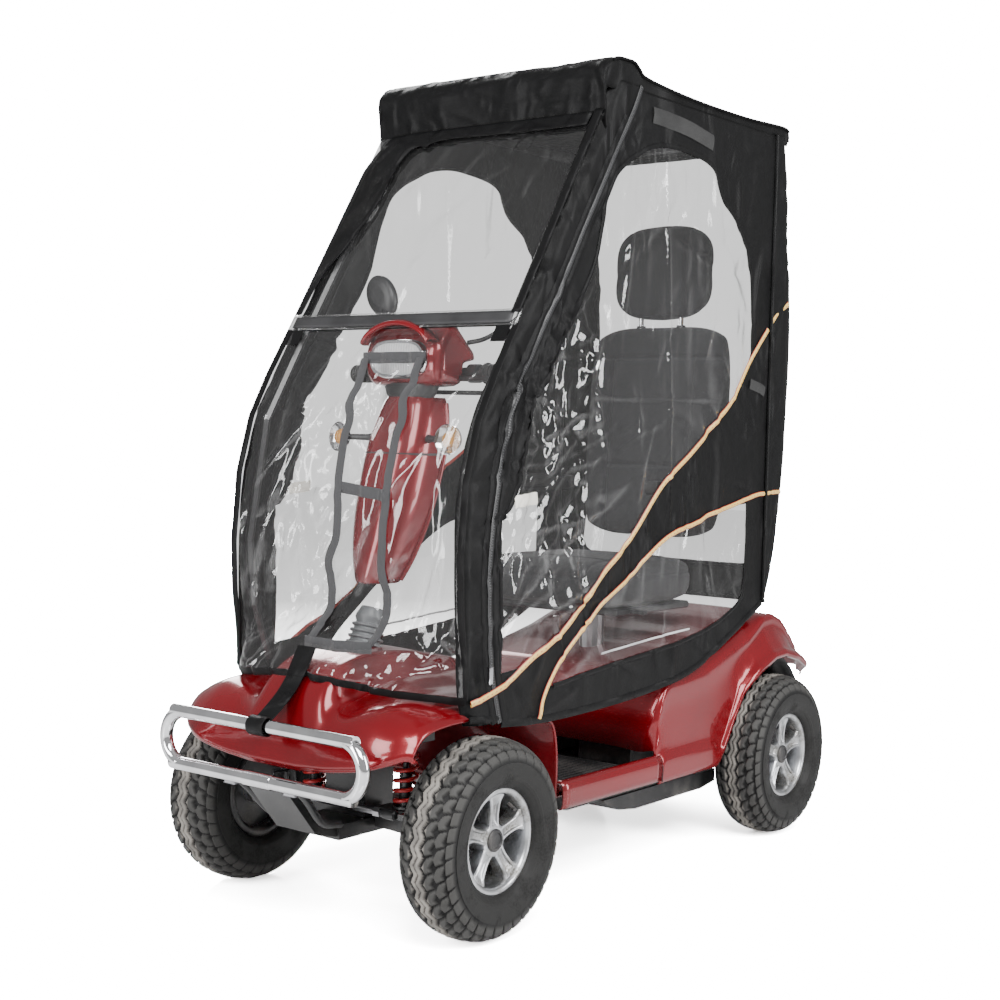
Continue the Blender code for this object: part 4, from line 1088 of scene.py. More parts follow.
def ribbon(name, middle, width, finish, s, lift, crown=0.0):
    """A tape sewn on a side sheet along a line of (y, z) points."""
    middle = curve_through(middle, max(24, int(len(middle) * 9)))
    forward = np.gradient(middle, axis=0)
    forward /= np.linalg.norm(forward, axis=1)[:, None]
    square = np.stack([-forward[:, 1], forward[:, 0]], axis=1)
    reach = np.concatenate([[0], np.cumsum(np.linalg.norm(np.diff(middle, axis=0), axis=1))])
    rows, uv = [], []
    for share in np.linspace(0, 1, 7):
        at = middle + square * width * (share - 0.5)
        rise = lift + crown * math.sin(math.pi * share)
        rows.append(place_side(at, s, rise))
        uv.append(np.stack([np.full(len(at), share), reach], axis=1))
    rows.append(place_side(middle, s, lift - 0.0012))
    uv.append(np.stack([np.full(len(middle), 1.0), reach], axis=1))
    grid = np.array(rows)
    faces = grid_faces(*grid.shape[:2], wrap_rows=True)
    made = shape(name, grid.reshape(-1, 3), faces, finish, uv=np.concatenate(uv))
    return outward(made)


def canopy_side(side, s):
    outline = np.array(list(curve_through(ZIP_LINE, 60)) + [(0.4685, DOOR_TOP_Z)]
                       + list(curve_through(SKIRT, 40)[::-1]))
    outline[:, 1] = np.minimum(outline[:, 1], DOOR_TOP_Z)
    upper = np.array(list(curve_through(WINDOW_TOP, 90))
                     + list(curve_through(UPPER_PIPING, 80)[10:-7][::-1]))
    upper = upper[in_outline(upper, outline)]
    lower = np.array(list(curve_through(LOWER_PIPING, 70)[5:-9]) + list(curve_through(LOWER_WINDOW, 50)))
    lower[:, 1] = np.where(np.arange(len(lower)) < 56, lower[:, 1] - 0.004, lower[:, 1])
    flat, (cloth, high_film, low_film) = cut_sheet(outline, [upper, lower], 0.0068)
    points = place_side(flat, s)
    body = f"door_{side}"
    door = thickened(used_part(f"door_{side}_cloth", points, cloth, NYLON), 0.0012)
    high = used_part(f"door_{side}_window", points, high_film, VINYL)
    low = used_part(f"door_{side}_low_window", points, low_film, VINYL)
    sewn = (
        ("window_edge", WINDOW_TOP, 0.009, NYLON, 0.0012, 0.0012),
        ("low_edge", LOWER_WINDOW, 0.009, NYLON, 0.0012, 0.0012),
        ("hem", SKIRT, 0.013, NYLON, 0.0012, 0.0015),
        ("zip_flap", [(y + 0.016, z) for y, z in ZIP_LINE[:-1]], 0.013, NYLON, 0.0012, 0.0012),
        ("upper_piping", UPPER_PIPING[2:], 0.0115, PIPING, 0.0024, 0.0022),
        ("lower_piping", LOWER_PIPING, 0.0100, PIPING, 0.0024, 0.0022),
        ("tab", ((-0.383, 0.706), (-0.325, 0.712)), 0.021, TAB_CLOTH, 0.0020, 0.0006),
        ("touch_tape", ((0.392, 0.932), (0.430, 0.925), (0.452, 0.918)), 0.021, RUBBER, 0.0018, 0.0008),
        ("roll_flap", ((0.000, 1.403), (0.060, 1.402), (0.130, 1.398), (0.215, 1.386)), 0.030, RUBBER,
         0.0018, 0.002),
        ("film_seam", ((-0.120, 0.432), (0.063, 0.446), (0.180, 0.452)), 0.004, STITCH_GREY, 0.0012,
         0.0005),
    )
    trims = [ribbon(f"door_{side}_{label}", line, wide, finish, s, lift, crown) for label, line, wide,
             finish, lift, crown in sewn]
    for piece in (door, high, low, *trims):
        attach(piece, body)
    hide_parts(f"door_{side}")
    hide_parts(f"door_{side}")

    strip = np.array(list(curve_through(PILLAR_FRONT, 70)) + list(curve_through(ZIP_LINE, 60)[::-1]))
    flat, (cloth,) = cut_sheet(strip, [], 0.0075)
    points = place_side(flat, s)
    depth = np.interp(flat[:, 1], [z for y, z in PILLAR_FRONT], [y for y, z in PILLAR_FRONT])
    roll = 1 - eased(0.0, 0.030, flat[:, 0] - depth)
    points[:, 0] -= s * 0.012 * roll**2
    pillar = thickened(used_part(f"pillar_{side}_cloth", points, cloth, NYLON), 0.0014)
    chain = ribbon(f"pillar_{side}_zip", ZIP_LINE, 0.011, ZIP, s, 0.0016, 0.0012)
    flap = ribbon(f"pillar_{side}_zip_cover", [(y - 0.014, z) for y, z in ZIP_LINE[:-1]], 0.014, NYLON, s,
                  0.0012, 0.0018)
    hem = ribbon(f"pillar_{side}_hem", ((-0.492, 0.3585), (-0.450, 0.3545), (-0.414, 0.3535)), 0.012, NYLON,
                 s, 0.0012, 0.0015)
    tape = ribbon(f"pillar_{side}_piping", UPPER_PIPING[:3], 0.0115, PIPING, s, 0.0024, 0.0022)
    pull = block(f"pillar_{side}_zip_pull", (s * 0.267 - 0.002, -0.447, 0.412),
                 (s * 0.267 + 0.002, -0.438, 0.440), ZINC, 0.001)
    for piece in (pillar, chain, flap, hem, tape, pull):
        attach(piece, "chassis")
    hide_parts(f"pillar_{side}")


def roof():
    """Roof and header as one sheet over the hoops: a sharp forward ridge, then a slack span."""
    line = ((-0.150, 1.3560), (-0.151, 1.3850), (-0.155, 1.4180), (-0.158, 1.4500), (-0.148, 1.4680),
            (-0.128, 1.4825), (-0.100, 1.4865), (-0.070, 1.4860), (-0.052, 1.4760), (-0.030, 1.4660),
            (0.070, 1.4590), (0.200, 1.4560), (0.345, 1.4575), (0.440, 1.4620), (0.495, 1.4640),
            (0.516, 1.4580), (0.522, 1.4440))
    profile = curve_through(line, 150)
    columns = 120
    rows = []
    for y, z in profile:
        x = np.linspace(-1, 1, columns) * (CANOPY_X + 0.0025)
        at = np.stack([x, np.full(columns, y)], axis=1)
        share = np.abs(x) / CANOPY_X
        sag = 0.006 * np.cos(x / CANOPY_X * math.pi / 2) * eased(-0.02, 0.10, y) * eased(0.50, 0.40, y)
        height = np.full(columns, z) - sag - 0.008 * eased(0.965, 1.0, share) * eased(-0.16, -0.10, y)
        wrinkle = creases(at, 41, 80, ((-0.26, -0.10), (0.26, 0.50)), 0.014, 0.0042, 0.3, 0.9)
        wrinkle = wrinkle * eased(1.0, 0.9, share)
        front = eased(-0.120, -0.150, y)
        sideways = creases(np.stack([x, np.full(columns, z)], axis=1), 43, 40,
                           ((-0.26, 1.37), (0.26, 1.47)), 0.007, 0.0030, 0.05, 0.25)
        rows.append(np.stack([x, y + np.maximum(sideways, -0.004) * front, height + wrinkle * (1 - front)],
                             axis=1))
    top = skin("roof_cloth", rows, NYLON)
    ends = []
    for side, s in SIDES:
        edge = [(y, z) for y, z in profile[12:] if z > 1.44 or y < 0.0]
        low = [(y, min(z - 0.004, 1.428)) for y, z in edge]
        strip = []
        for share in np.linspace(0, 1, 6):
            x = s * (CANOPY_X + 0.0025 - 0.0060 * share)
            strip.append([(x, ya, za * (1 - share) + zb * share) for (ya, za), (_, zb) in zip(edge, low)])
        ends.append(skin(f"roof_end_{side}", strip, NYLON, flip=s > 0))
    cloth = thickened(joined("roof_sheet", top, *ends), 0.0012)
    fit(cloth, "chassis", "canopy_roof")
    seams = []
    for k, (y, z) in enumerate(((-0.150, 1.3800), (-0.0450, 1.4735), (0.517, 1.4555))):
        path = [(x, y, z + 0.0012) for x in np.linspace(-CANOPY_X, CANOPY_X, 40)]
        seams.append(tube(f"roof_seam_{k}", path, 0.0022, NYLON, steps=8))
    for side, s in SIDES:
        edge = [(s * (CANOPY_X + 0.0045), y, z - 0.003) for y, z in profile[24:-3]]
        seams.append(tube(f"roof_side_seam_{side}", edge, 0.0024, NYLON, steps=8))
    piping = joined("roof_seams", *seams)
    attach(piping, "chassis")


REAR_LINE = ((0.486, 0.486), (0.503, 0.520), (0.521, 0.570), (0.540, 0.680), (0.554, 0.800), (0.562, 1.010),
             (0.554, 1.150), (0.540, 1.250), (0.524, 1.380), (0.513, 1.444))


def rear_wall():
    """The rear wall, rounded at its corners and joined forward to each door's seam."""
    line = curve_through(REAR_LINE, 110)
    rows = []
    wide = CANOPY_X + 0.003
    for y, z in line:
        half = curve_through([(wide, 0.4705), (wide + 0.0005, (0.4705 + y) / 2), (wide - 0.001, y - 0.016),
                              (wide - 0.009, y - 0.004), (wide * 0.80, y + 0.001), (wide * 0.4, y + 0.003),
                              (0.0, y + 0.004)], 60)
        full = np.concatenate([half, half[-2::-1] * (-1, 1)])
        rows.append(np.concatenate([full, np.full((len(full), 1), z)], axis=1))
    grid = np.array(rows)
    at = grid[:, :, [0, 2]].reshape(-1, 2)
    wrinkle = creases(at, 51, 110, ((-0.26, 0.5), (0.26, 1.43)), 0.012, 0.0045, 1.3,
                      0.6).reshape(grid.shape[:2])
    flank = np.abs(grid[:, :, 0]) > wide - 0.004
    grid[:, :, 1] += np.where(flank, 0, wrinkle)
    side_at = grid[:, :, [1, 2]].reshape(-1, 2)
    flank_wrinkle = creases(side_at, 52, 40, ((0.47, 0.5), (0.56, 1.43)), 0.010, 0.0026, 1.4,
                            0.4).reshape(grid.shape[:2])
    grid[:, :, 0] += np.where(flank, np.sign(grid[:, :, 0]) * flank_wrinkle, 0)
    window = rounded([(-0.232, 0.552), (0.232, 0.552), (0.226, 1.424), (-0.226, 1.424)], 0.055, 12)
    middles = (grid[:-1, :-1] + grid[1:, 1:])[:, :, [0, 2]].reshape(-1, 2) / 2
    seen_through = in_outline(middles, window)
    faces = grid_faces(*grid.shape[:2])
    points = grid.reshape(-1, 3)
    cloth = thickened(used_part("rear_wall_cloth", points,
                                [f for f, clear in zip(faces, seen_through) if not clear], NYLON), 0.0012)
    film = used_part("rear_window", points, [f for f, clear in zip(faces, seen_through) if clear], VINYL)
    fit(cloth, "chassis", "canopy_rear")
    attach(film, "chassis")
    hem = tube("rear_wall_hem", grid[0, ::2], 0.0032, NYLON, steps=8)
    near = [points[np.argmin(np.hypot(points[:, 0] - x, points[:, 2] - z)), 1] for x,
            z in curve_evenly(window, 0.012)]
    edging = curve_through([(x, y, z) for (x, z), y in zip(curve_evenly(window, 0.012), near)], 420,
                           closed=True)
    binding = tube("rear_window_edge", edging, 0.0048, NYLON, closed=True, steps=10)
    tapes = [hem, binding]
    for side, s in SIDES:
        tapes.append(tube(f"rear_seam_{side}",
                          [(s * (wide - 0.0002), 0.4700, z) for z in np.linspace(0.487, 1.443, 60)], 0.0040,
                          NYLON, steps=8))
        for label, path, width in (("upper", ((0.4725, 1.062), (0.500, 1.083), (0.540, 1.104)), 0.0115),
                                   ("lower", ((0.4725, 0.7095), (0.505, 0.7115), (0.530, 0.712)), 0.010)):
            tapes.append(ribbon(f"rear_{label}_piping_{side}", path, width, PIPING, s, 0.0034, 0.0022))
    trim = joined("rear_wall_trim", *tapes)
    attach(trim, "chassis")


CURTAIN_LINE = ((-0.506, 0.450), (-0.514, 0.540), (-0.518, 0.617), (-0.508, 0.740), (-0.481, 0.839),
                (-0.440, 0.915), (-0.396, 0.985), (-0.386, 1.001))
CURTAIN_HEM = ((1.00, -0.498, 0.388), (0.90, -0.516, 0.391), (0.70, -0.568, 0.399), (0.52, -0.591, 0.404),
               (0.38, -0.603, 0.409), (0.25, -0.609, 0.413), (0.12, -0.6125, 0.416), (0.00, -0.6135, 0.417))


def curtain_depth(x, z):
    """How far along y the curtain lies at a place across and a height above its hem."""
    share = abs(x) / CANOPY_X
    y = np.interp(z, [b for a, b in CURTAIN_LINE], [a for a, b in CURTAIN_LINE])
    fractions = [row[0] for row in CURTAIN_HEM[::-1]]
    hem_y = np.interp(share, fractions, [row[1] for row in CURTAIN_HEM[::-1]])
    hem_z = np.interp(share, fractions, [row[2] for row in CURTAIN_HEM[::-1]])
    down = eased(0.62, 0.0, (z - hem_z) / (0.617 - hem_z)) if z < 0.617 else 0.0
    return y * (1 - down) + hem_y * down


def curtain_grid(columns=110, rows=150):
    x = np.linspace(-1, 1, columns) * (CANOPY_X - 0.001)
    fractions = [row[0] for row in CURTAIN_HEM[::-1]]
    grid = np.zeros((rows, columns, 3))
    for j, across in enumerate(x):
        hem_z = np.interp(abs(across) / CANOPY_X, fractions, [row[2] for row in CURTAIN_HEM[::-1]])
        heights = np.linspace(hem_z, 1.001, rows)
        grid[:, j, 0] = across
        grid[:, j, 1] = [curtain_depth(across, z) for z in heights]
        grid[:, j, 2] = heights
    at = grid[:, :, [0, 2]].reshape(-1, 2)
    slack = creases(at, 61, 120, ((-0.26, 0.42), (0.26, 0.98)), 0.009, 0.0060, 1.45, 0.4)
    low_folds = creases(at, 62, 60, ((-0.25, 0.40), (0.25, 0.50)), 0.007, 0.0060, 0.2, 0.7)
    edge = eased(1.0, 0.93, np.abs(grid[:, :, 0]) / CANOPY_X)
    grid[:, :, 1] += (slack + low_folds).reshape(rows, columns) * edge
    return grid


def front_curtain():
    """The clear front curtain, bound in black, with a ladder of grey webbing sewn on it."""
    grid = curtain_grid()
    film = skin("front_curtain_film", grid, VINYL)
    fit(film, "chassis", "front_curtain")

    def on_film(x, z, off=0.0):
        j = (x / (CANOPY_X - 0.001) + 1) / 2 * (grid.shape[1] - 1)
        column = grid[:, int(np.clip(round(j), 0, grid.shape[1] - 1))]
        return np.array([x, np.interp(z, column[:, 2], column[:, 1]) - off, z])

    trims = []
    hem = grid[0] + (0, -0.001, 0)
    trims.append(flat_tape("curtain_hem", hem, (0, -0.35, 0.94), 0.013, NYLON, 0.0022))
    for side, s in SIDES:
        rising = [on_film(s * 0.2595, z, 0.001) for z in np.linspace(0.392, 0.998, 90)]
        trims.append(flat_tape(f"curtain_binding_{side}", rising, (1, 0, 0), 0.013, NYLON, 0.0030))
    top = [on_film(x, 0.998, 0.001) for x in np.linspace(-0.25, 0.25, 60)]
    trims.append(flat_tape("curtain_top_band", top, (0, 0.45, 0.89), 0.007, NYLON, 0.0016))
    rungs = (("top", (-0.048, 0.943), (0.097, 0.943)), ("middle", (-0.012, 0.722), (0.106, 0.710)),
             ("bottom", (-0.022, 0.4655), (0.112, 0.4655)))
    for label, start, end in rungs:
        path = [on_film(x, np.interp(x, (start[0], end[0]), (start[1], end[1])), 0.0022)
                for x in np.linspace(start[0], end[0], 30)]
        trims.append(flat_tape(f"ladder_{label}", path, (0, 0, 1), 0.0195, WEBBING, 0.0014))
    rails = (("far", ((-0.039, 0.943), (-0.027, 0.900), (-0.031, 0.872), (-0.015, 0.838), (-0.021, 0.798),
                      (-0.014, 0.722), (-0.010, 0.640), (-0.026, 0.595), (-0.017, 0.544), (-0.014, 0.469))),
             ("near", ((0.087, 0.943), (0.090, 0.900), (0.086, 0.872), (0.100, 0.838), (0.094, 0.805),
                       (0.100, 0.722), (0.096, 0.640), (0.092, 0.590), (0.104, 0.544), (0.106, 0.469))))
    for label, places in rails:
        line = curve_through(places, 110)
        path = [on_film(x, z, 0.0034) for x, z in line]
        trims.append(flat_tape(f"ladder_rail_{label}", path, (1, 0, 0), 0.0172, WEBBING, 0.0014))
    for trim in trims:
        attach(trim, "chassis")


def flat_tape(name, path, across, width, finish, thickness):
    """A flat tape along a path, its width lying along a given direction."""
    path = np.asarray(path, float)
    forward = np.gradient(path, axis=0)
    forward /= np.linalg.norm(forward, axis=1)[:, None]
    across = np.asarray(across, float)[None] - forward * (forward @ np.asarray(across, float))[:, None]
    across /= np.linalg.norm(across, axis=1)[:, None]
    square = np.cross(forward, across)
    corners = rounded([(-0.5 * width, -0.5 * thickness), (0.5 * width, -0.5 * thickness),
                       (0.5 * width, 0.5 * thickness), (-0.5 * width, 0.5 * thickness)], thickness * 0.4, 3)
    loops = (path[:, None] + across[:, None] * corners[None, :, 0, None]
             + square[:, None] * corners[None, :, 1, None])
    return capped(name, loops, finish)


def on_screen(x, share, off=0.0):
    """A point on the windscreen: share 0 at its bottom edge, 1 at its top."""
    low, high = np.array([-0.384, 1.0015]), np.array([-0.1505, 1.3830])
    y, z = low + (high - low) * share
    out = np.array([-(high - low)[1], (high - low)[0]])
    out /= np.linalg.norm(out)
    return np.array([x, y + out[0] * off, z + out[1] * off])


def windscreen():
    """The sloping clear screen, its black surround, and the stiffening bar along its foot."""
    grid = []
    for share in np.linspace(0, 1, 80):
        bow = 0.006 * math.sin(math.pi * share)
        grid.append([on_screen(x, share, bow * math.cos(x / CANOPY_X * math.pi / 2))
                     for x in np.linspace(-0.261, 0.261, 90)])
    grid = np.array(grid)
    at = np.stack([grid[:, :, 0].ravel(), grid[:, :, 2].ravel()], axis=1)
    ripple = creases(at, 71, 26, ((-0.22, 1.03), (0.24, 1.34)), 0.014, 0.0016, 1.2, 0.4).reshape(80, 90)
    grid[:, :, 1] -= ripple
    film = skin("windscreen_film", grid, VINYL)
    fit(film, "chassis", "windscreen")
    inner = [(-0.243, 0.055), (-0.236, 0.25), (-0.208, 0.40), (-0.180, 0.62), (-0.176, 0.78),
             (-0.162, 0.885), (-0.140, 0.915), (-0.125, 0.900), (-0.110, 0.925), (-0.060, 0.935),
             (0.020, 0.930), (0.137, 0.925), (0.238, 0.925)]
    edge = curve_through(inner, 120)
    band = []
    for x, share in edge:
        outer_x, outer_share = (-0.2625, share) if x < -0.17 and share < 0.86 else (x, 1.0)
        if x < -0.15 and share >= 0.80:
            turn = float(eased(0.80, 0.93, share))
            outer_x, outer_share = -0.2625 + turn * 0.04, 0.80 + turn * 0.20 + (share - 0.80) * (1 - turn)
        band.append([on_screen(x + (outer_x - x) * t, share + (outer_share - share) * t, 0.0085 - 0.004 * t)
                     for t in np.linspace(0, 1, 7)])
    surround = thickened(skin("windscreen_surround", band, NYLON), 0.0014)
    near = [[on_screen(x, share, 0.0085 + 0.002 * math.sin(math.pi * (x - 0.244) / 0.018))
             for x in np.linspace(0.244, 0.262, 6)]
            for share in np.linspace(0.03, 1.0, 50)]
    near_band = thickened(skin("windscreen_near_band", near, NYLON), 0.0014)
    foot = [[on_screen(x, share, 0.0075) for share in np.linspace(-0.012, 0.040, 5)]
            for x in np.linspace(-0.250, 0.250, 40)]
    bar = thickened(skin("windscreen_bar", foot, BAR_GREY), 0.0016)
    sleeve = [[on_screen(x, share, 0.0055) for share in np.linspace(-0.020, 0.052, 5)]
              for x in np.linspace(-0.2625, 0.2625, 40)]
    clear_sleeve = thickened(skin("windscreen_bar_sleeve", sleeve, VINYL), 0.0006)
    loops = []
    for s in (1, -1):
        path = [on_screen(s * 0.236, share, 0.004) for share in np.linspace(-0.09, -0.02, 8)]
        loops.append(flat_tape(f"windscreen_loop_{s}", path, (1, 0, 0), 0.030, NYLON, 0.0016))
    trims = [surround, near_band, bar, clear_sleeve, *loops]
    for trim in trims:
        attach(trim, "chassis")


def hold_down():
    """The webbing strap from the curtain's hem, over the nose and round the bumper's top tube."""
    outer = 0.0125 + 0.0024
    path = [(0, -0.6030, 0.4440), (0, -0.6125, 0.4270), (0, -0.6190, 0.4150), (0, -0.6440, 0.3860)]
    for angle in np.radians(np.linspace(50, 350, 16)):
        path.append((0, BUMPER_Y + outer * math.cos(angle), BUMPER_TOP_Z + outer * math.sin(angle)))
    tape = flat_tape("hold_down_strap", curve_through(path, 90), (1, 0, 0), 0.037, NYLON, 0.0022)
    patch = [(0, -0.5935, 0.4600), (0, -0.6020, 0.4440), (0, -0.6120, 0.4270), (0, -0.6185, 0.4150)]
    stitched = flat_tape("hold_down_patch", curve_through(patch, 24), (1, 0, 0), 0.040, NYLON, 0.0040)
    fit(joined("hold_down", tape, stitched), "chassis", "bumper_strap")


# ---------------------------------------------------------------- tiller


RING_STEPS = 44


def column_loops(sections):
    """Rings round the tiller: rounded front, flat back with a flange along each rear edge."""
    rings = []
    for height, half, front, back in sections:
        middle = front + (back - front) * 0.45
        outline = [(0, front), (half * 0.42, front + 0.002), (half * 0.78, front + 0.014),
                   (half * 0.98, middle), (half, middle + 0.010), (half * 1.02, back - 0.006),
                   (half * 0.96, back), (half * 0.5, back), (0, back)]
        outline += [(-x, y) for x, y in outline[-2:0:-1]]
        rings.append([(x, y, height) for x, y in curve_through(outline, RING_STEPS, closed=True)])
    return rings


def tiller_column():
    sections = [(0.556, 0.026, -0.462, -0.405), (0.562, 0.032, -0.467, -0.399),
                (0.600, 0.047, -0.463, -0.386), (0.650, 0.057, -0.454, -0.367),
                (0.700, 0.062, -0.442, -0.350), (0.760, 0.064, -0.426, -0.333),
                (0.800, 0.063, -0.414, -0.323), (0.840, 0.057, -0.399, -0.314),
                (0.868, 0.050, -0.388, -0.309), (0.878, 0.045, -0.382, -0.307)]
    loops = column_loops(sections)
    fine = [curve_through([ring[k] for ring in loops], 60) for k in range(RING_STEPS)]
    shell = capped("tiller_shell", np.transpose(np.array(fine), (1, 0, 2)), RED)
    flanges = []
    for s in (1, -1):
        path = curve_through([(s * (half + 0.002), back - 0.004, height) for height, half, _,
                              back in sections[1:-1]], 50)
        flanges.append(tube(f"tiller_flange_{s}", path, 0.0045, RED, steps=10))
    band = [(x * 1.01, y, z) for x, y, z in column_loops([(0.0, 0.064, -0.420, -0.328)])[0]]
    band_loops = [[(x, y + lean, z + height) for x, y, z in band] for height,
                  lean in ((0.777, 0.0), (0.781, -0.0015))]
    flanges.append(capped("tiller_split_line", band_loops, BLACK_PLASTIC))
    fit(joined("tiller_shell", shell, *flanges), "tiller", "tiller_cover")


def column_boot():
    """The ribbed rubber boot and clamp at the foot of the tiller."""
    foot = STEER_FOOT + STEER_AXIS * ((0.335 - 0.50) / STEER_AXIS[2])
    profile = [(0.0, 0.0155), (0.096, 0.0155), (0.100, 0.031), (0.106, 0.0335)]
    for k in range(5):
        at = 0.110 + 0.0105 * k
        wide = 0.0332 - 0.0012 * k
        profile += [(at, wide), (at + 0.003, wide), (at + 0.0050, wide - 0.0055),
                    (at + 0.0080, wide - 0.0060)]
    profile += [(0.166, 0.0255), (0.171, 0.0250), (0.186, 0.0185)]
    boot = turned("column_boot", profile, foot, STEER_AXIS, GREY_BOOT, 48)
    fit(boot, "steering", "steering_stem")
    cuff = turned("column_cuff", [(0.072, 0.036), (0.080, 0.0375), (0.090, 0.034), (0.0905, 0.016)], foot,
                  STEER_AXIS, BLACK_PLASTIC, 40)
    fit(cuff, "chassis")


DASH_UP = np.array([0, 0.66, 0.751]) / math.hypot(0.66, 0.751)
DASH_FACE = np.array([0, -0.2965, 0.983])
DASH_TURN = Matrix(((1, 0, 0), (0, DASH_UP[2], DASH_UP[1]), (0, -DASH_UP[1], DASH_UP[2]))).to_4x4()


def control_head():
    """The red console with its hood over the lamp, the dash face and the controls' bezels."""
    outline = [(-0.366, 0.897), (-0.378, 0.915), (-0.381, 0.960), (-0.366, 0.987), (-0.345, 1.004),
               (-0.322, 1.006), (-0.268, 0.958), (-0.266, 0.946), (-0.304, 0.938), (-0.306, 0.897)]
    outline = rounded(outline, 0.012, 5)
    middle = outline.mean(axis=0)
    loops = []
    for x, inset in ((-0.086, 0.62), (-0.0845, 0.78), (-0.080, 0.90), (-0.070, 0.97), (-0.050, 1.0),
                     (-0.02, 1.012), (0.02, 1.012), (0.050, 1.0), (0.070, 0.97), (0.080, 0.90),
                     (0.0845, 0.78), (0.086, 0.62)):
        loops.append([(x, *(middle + (point - middle) * inset)) for point in outline])
    head = capped("control_head_shell", loops, RED)
    brow = []
    for angle in np.radians(np.linspace(20, 160, 30)):
        x, z = 0.082 * math.cos(angle), 0.954 + 0.052 * math.sin(angle)
        brow.append([(x, -0.368, z + 0.002), (x, -0.384, z + 0.004), (x * 0.99, -0.398, z + 0.001),
                     (x * 0.97, -0.397, z - 0.004), (x * 0.97, -0.380, z - 0.004)])
    hood = thickened(skin("lamp_hood", refined(brow, 50, 14), RED), 0.003)
    neck = []
    for height, half, front, back in ((0.872, 0.040, -0.378, -0.316), (0.884, 0.052, -0.377, -0.318),
                                      (0.902, 0.062, -0.372, -0.318)):
        neck.append([(half * math.cos(a), (front + back) / 2 + (back - front) / 2 * math.sin(a), height)
                     for a in np.linspace(0, 2 * math.pi, 40, endpoint=False)])
    collar = capped("control_neck", neck, BLACK_PLASTIC)
    bezels = []
    for k, x in enumerate((0.0, 0.045, -0.045)):
        bezels.append(turned(f"bezel_{k}", [(-0.012, 0.0165), (-0.0014, 0.0165), (-0.0006, 0.0155)],
                             DASH_FACE + (x, 0, 0), DASH_UP, BLACK_PLASTIC, 36))
    dash = block("dash_plate", (-0.062, -0.016, -0.003), (0.062, 0.016, -0.0012), BLACK_PLASTIC, 0.001)
    dash.data.transform(Matrix.Translation(DASH_FACE) @ DASH_TURN)
    fit(joined("control_head", head, hood, collar, dash, *bezels), "tiller", "tiller_head")


def head_lamp():
    """An oval lamp: chrome surround, a dished reflector and a fluted lens."""

    def oval(y, half_wide, half_high):
        angles = np.arange(56) * 2 * math.pi / 56
        return [(half_wide * np.sign(math.cos(a)) * abs(math.cos(a)) ** 0.6, y,
                 0.943 + half_high * np.sign(math.sin(a)) * abs(math.sin(a)) ** 0.8) for a in angles]

    ring = capped("lamp_ring", [oval(-0.372, 0.063, 0.034), oval(-0.386, 0.063, 0.034),
                                oval(-0.3895, 0.0605, 0.0322), oval(-0.3895, 0.0570, 0.0292),
                                oval(-0.386, 0.0555, 0.0280), oval(-0.380, 0.036, 0.0180),
                                oval(-0.3765, 0.010, 0.006)], CHROME)
    bulb = turned("lamp_bulb", [(0.0, 0.007), (0.006, 0.007), (0.009, 0.004)], (0, -0.3768, 0.943),
                  (0, -1, 0), CHROME, 24)
    lens = capped("lamp_lens", [oval(-0.3855, 0.0553, 0.0278), oval(-0.3885, 0.0550, 0.0276),
                                oval(-0.3900, 0.042, 0.0200), oval(-0.3903, 0.010, 0.005)], CLEAR_LENS)
    fit(joined("head_lamp", ring, bulb, lens), "tiller", "headlight")


def turn_signals():
    """Round signals on stalks, each an amber bulb behind a clear dished lens."""
    for side, s in SIDES:
        start = np.array([s * 0.0665, -0.375, 0.806])
        out = np.array([s * 0.94, -0.34, 0.0])
        out /= np.linalg.norm(out)
        stalk = turned(f"signal_stalk_{side}", [(0.0, 0.0075), (0.006, 0.0058), (0.046, 0.0052)], start,
                       out, BLACK_PLASTIC, 20)
        centre = start + out * 0.064
        face = np.array([s * 0.18, -0.98, 0.06])
        face /= np.linalg.norm(face)
        cup = turned(f"signal_cup_{side}", [(-0.015, 0.012), (-0.012, 0.0205), (-0.002, 0.0256),
                                            (0.000, 0.0262), (0.0005, 0.0245), (-0.004, 0.020),
                                            (-0.008, 0.011), (-0.0082, 0.001)], centre, face, CHROME, 40)
        glow = turned(f"signal_bulb_{side}", [(-0.0078, 0.0125), (-0.003, 0.0135), (0.0008, 0.0105),
                                              (0.0022, 0.0025)], centre, face, AMBER_LENS, 28)
        lens = turned(f"signal_lens_{side}", [(0.0006, 0.0240), (0.0036, 0.0230), (0.0066, 0.0160),
                                              (0.0076, 0.006)], centre, face, VINYL, 40)
        fit(joined(f"turn_signal_{side}", stalk, cup, glow, lens), "tiller", f"indicator_{side}")


def handlebar():
    bar = tube("handlebar_tube", [(x, -0.287, 0.922) for x in np.linspace(-0.186, 0.186, 30)], 0.0108,
               BLACK_STEEL, steps=20)
    parts = [bar]
    for s in (1, -1):
        profile = [(0.118, 0.0125), (0.120, 0.0185), (0.124, 0.0190), (0.126, 0.0158)]
        for k in range(9):
            at = 0.130 + 0.0062 * k
            profile += [(at, 0.0164), (at + 0.0040, 0.0164), (at + 0.0044, 0.0152), (at + 0.0058, 0.0152)]
        profile += [(0.1865, 0.0165), (0.1895, 0.0150), (0.190, 0.009)]
        parts.append(turned(f"grip_{s}", profile, (0, -0.287, 0.922), (s, 0, 0), RUBBER, 36))
        parts.append(turned(f"bar_clamp_{s}", [(0.085, 0.0165), (0.105, 0.0165), (0.107, 0.013)],
                            (0, -0.287, 0.922), (s, 0, 0), BLACK_PLASTIC, 28))
    fit(joined("handlebar_and_grips", *parts), "tiller", "handlebar")


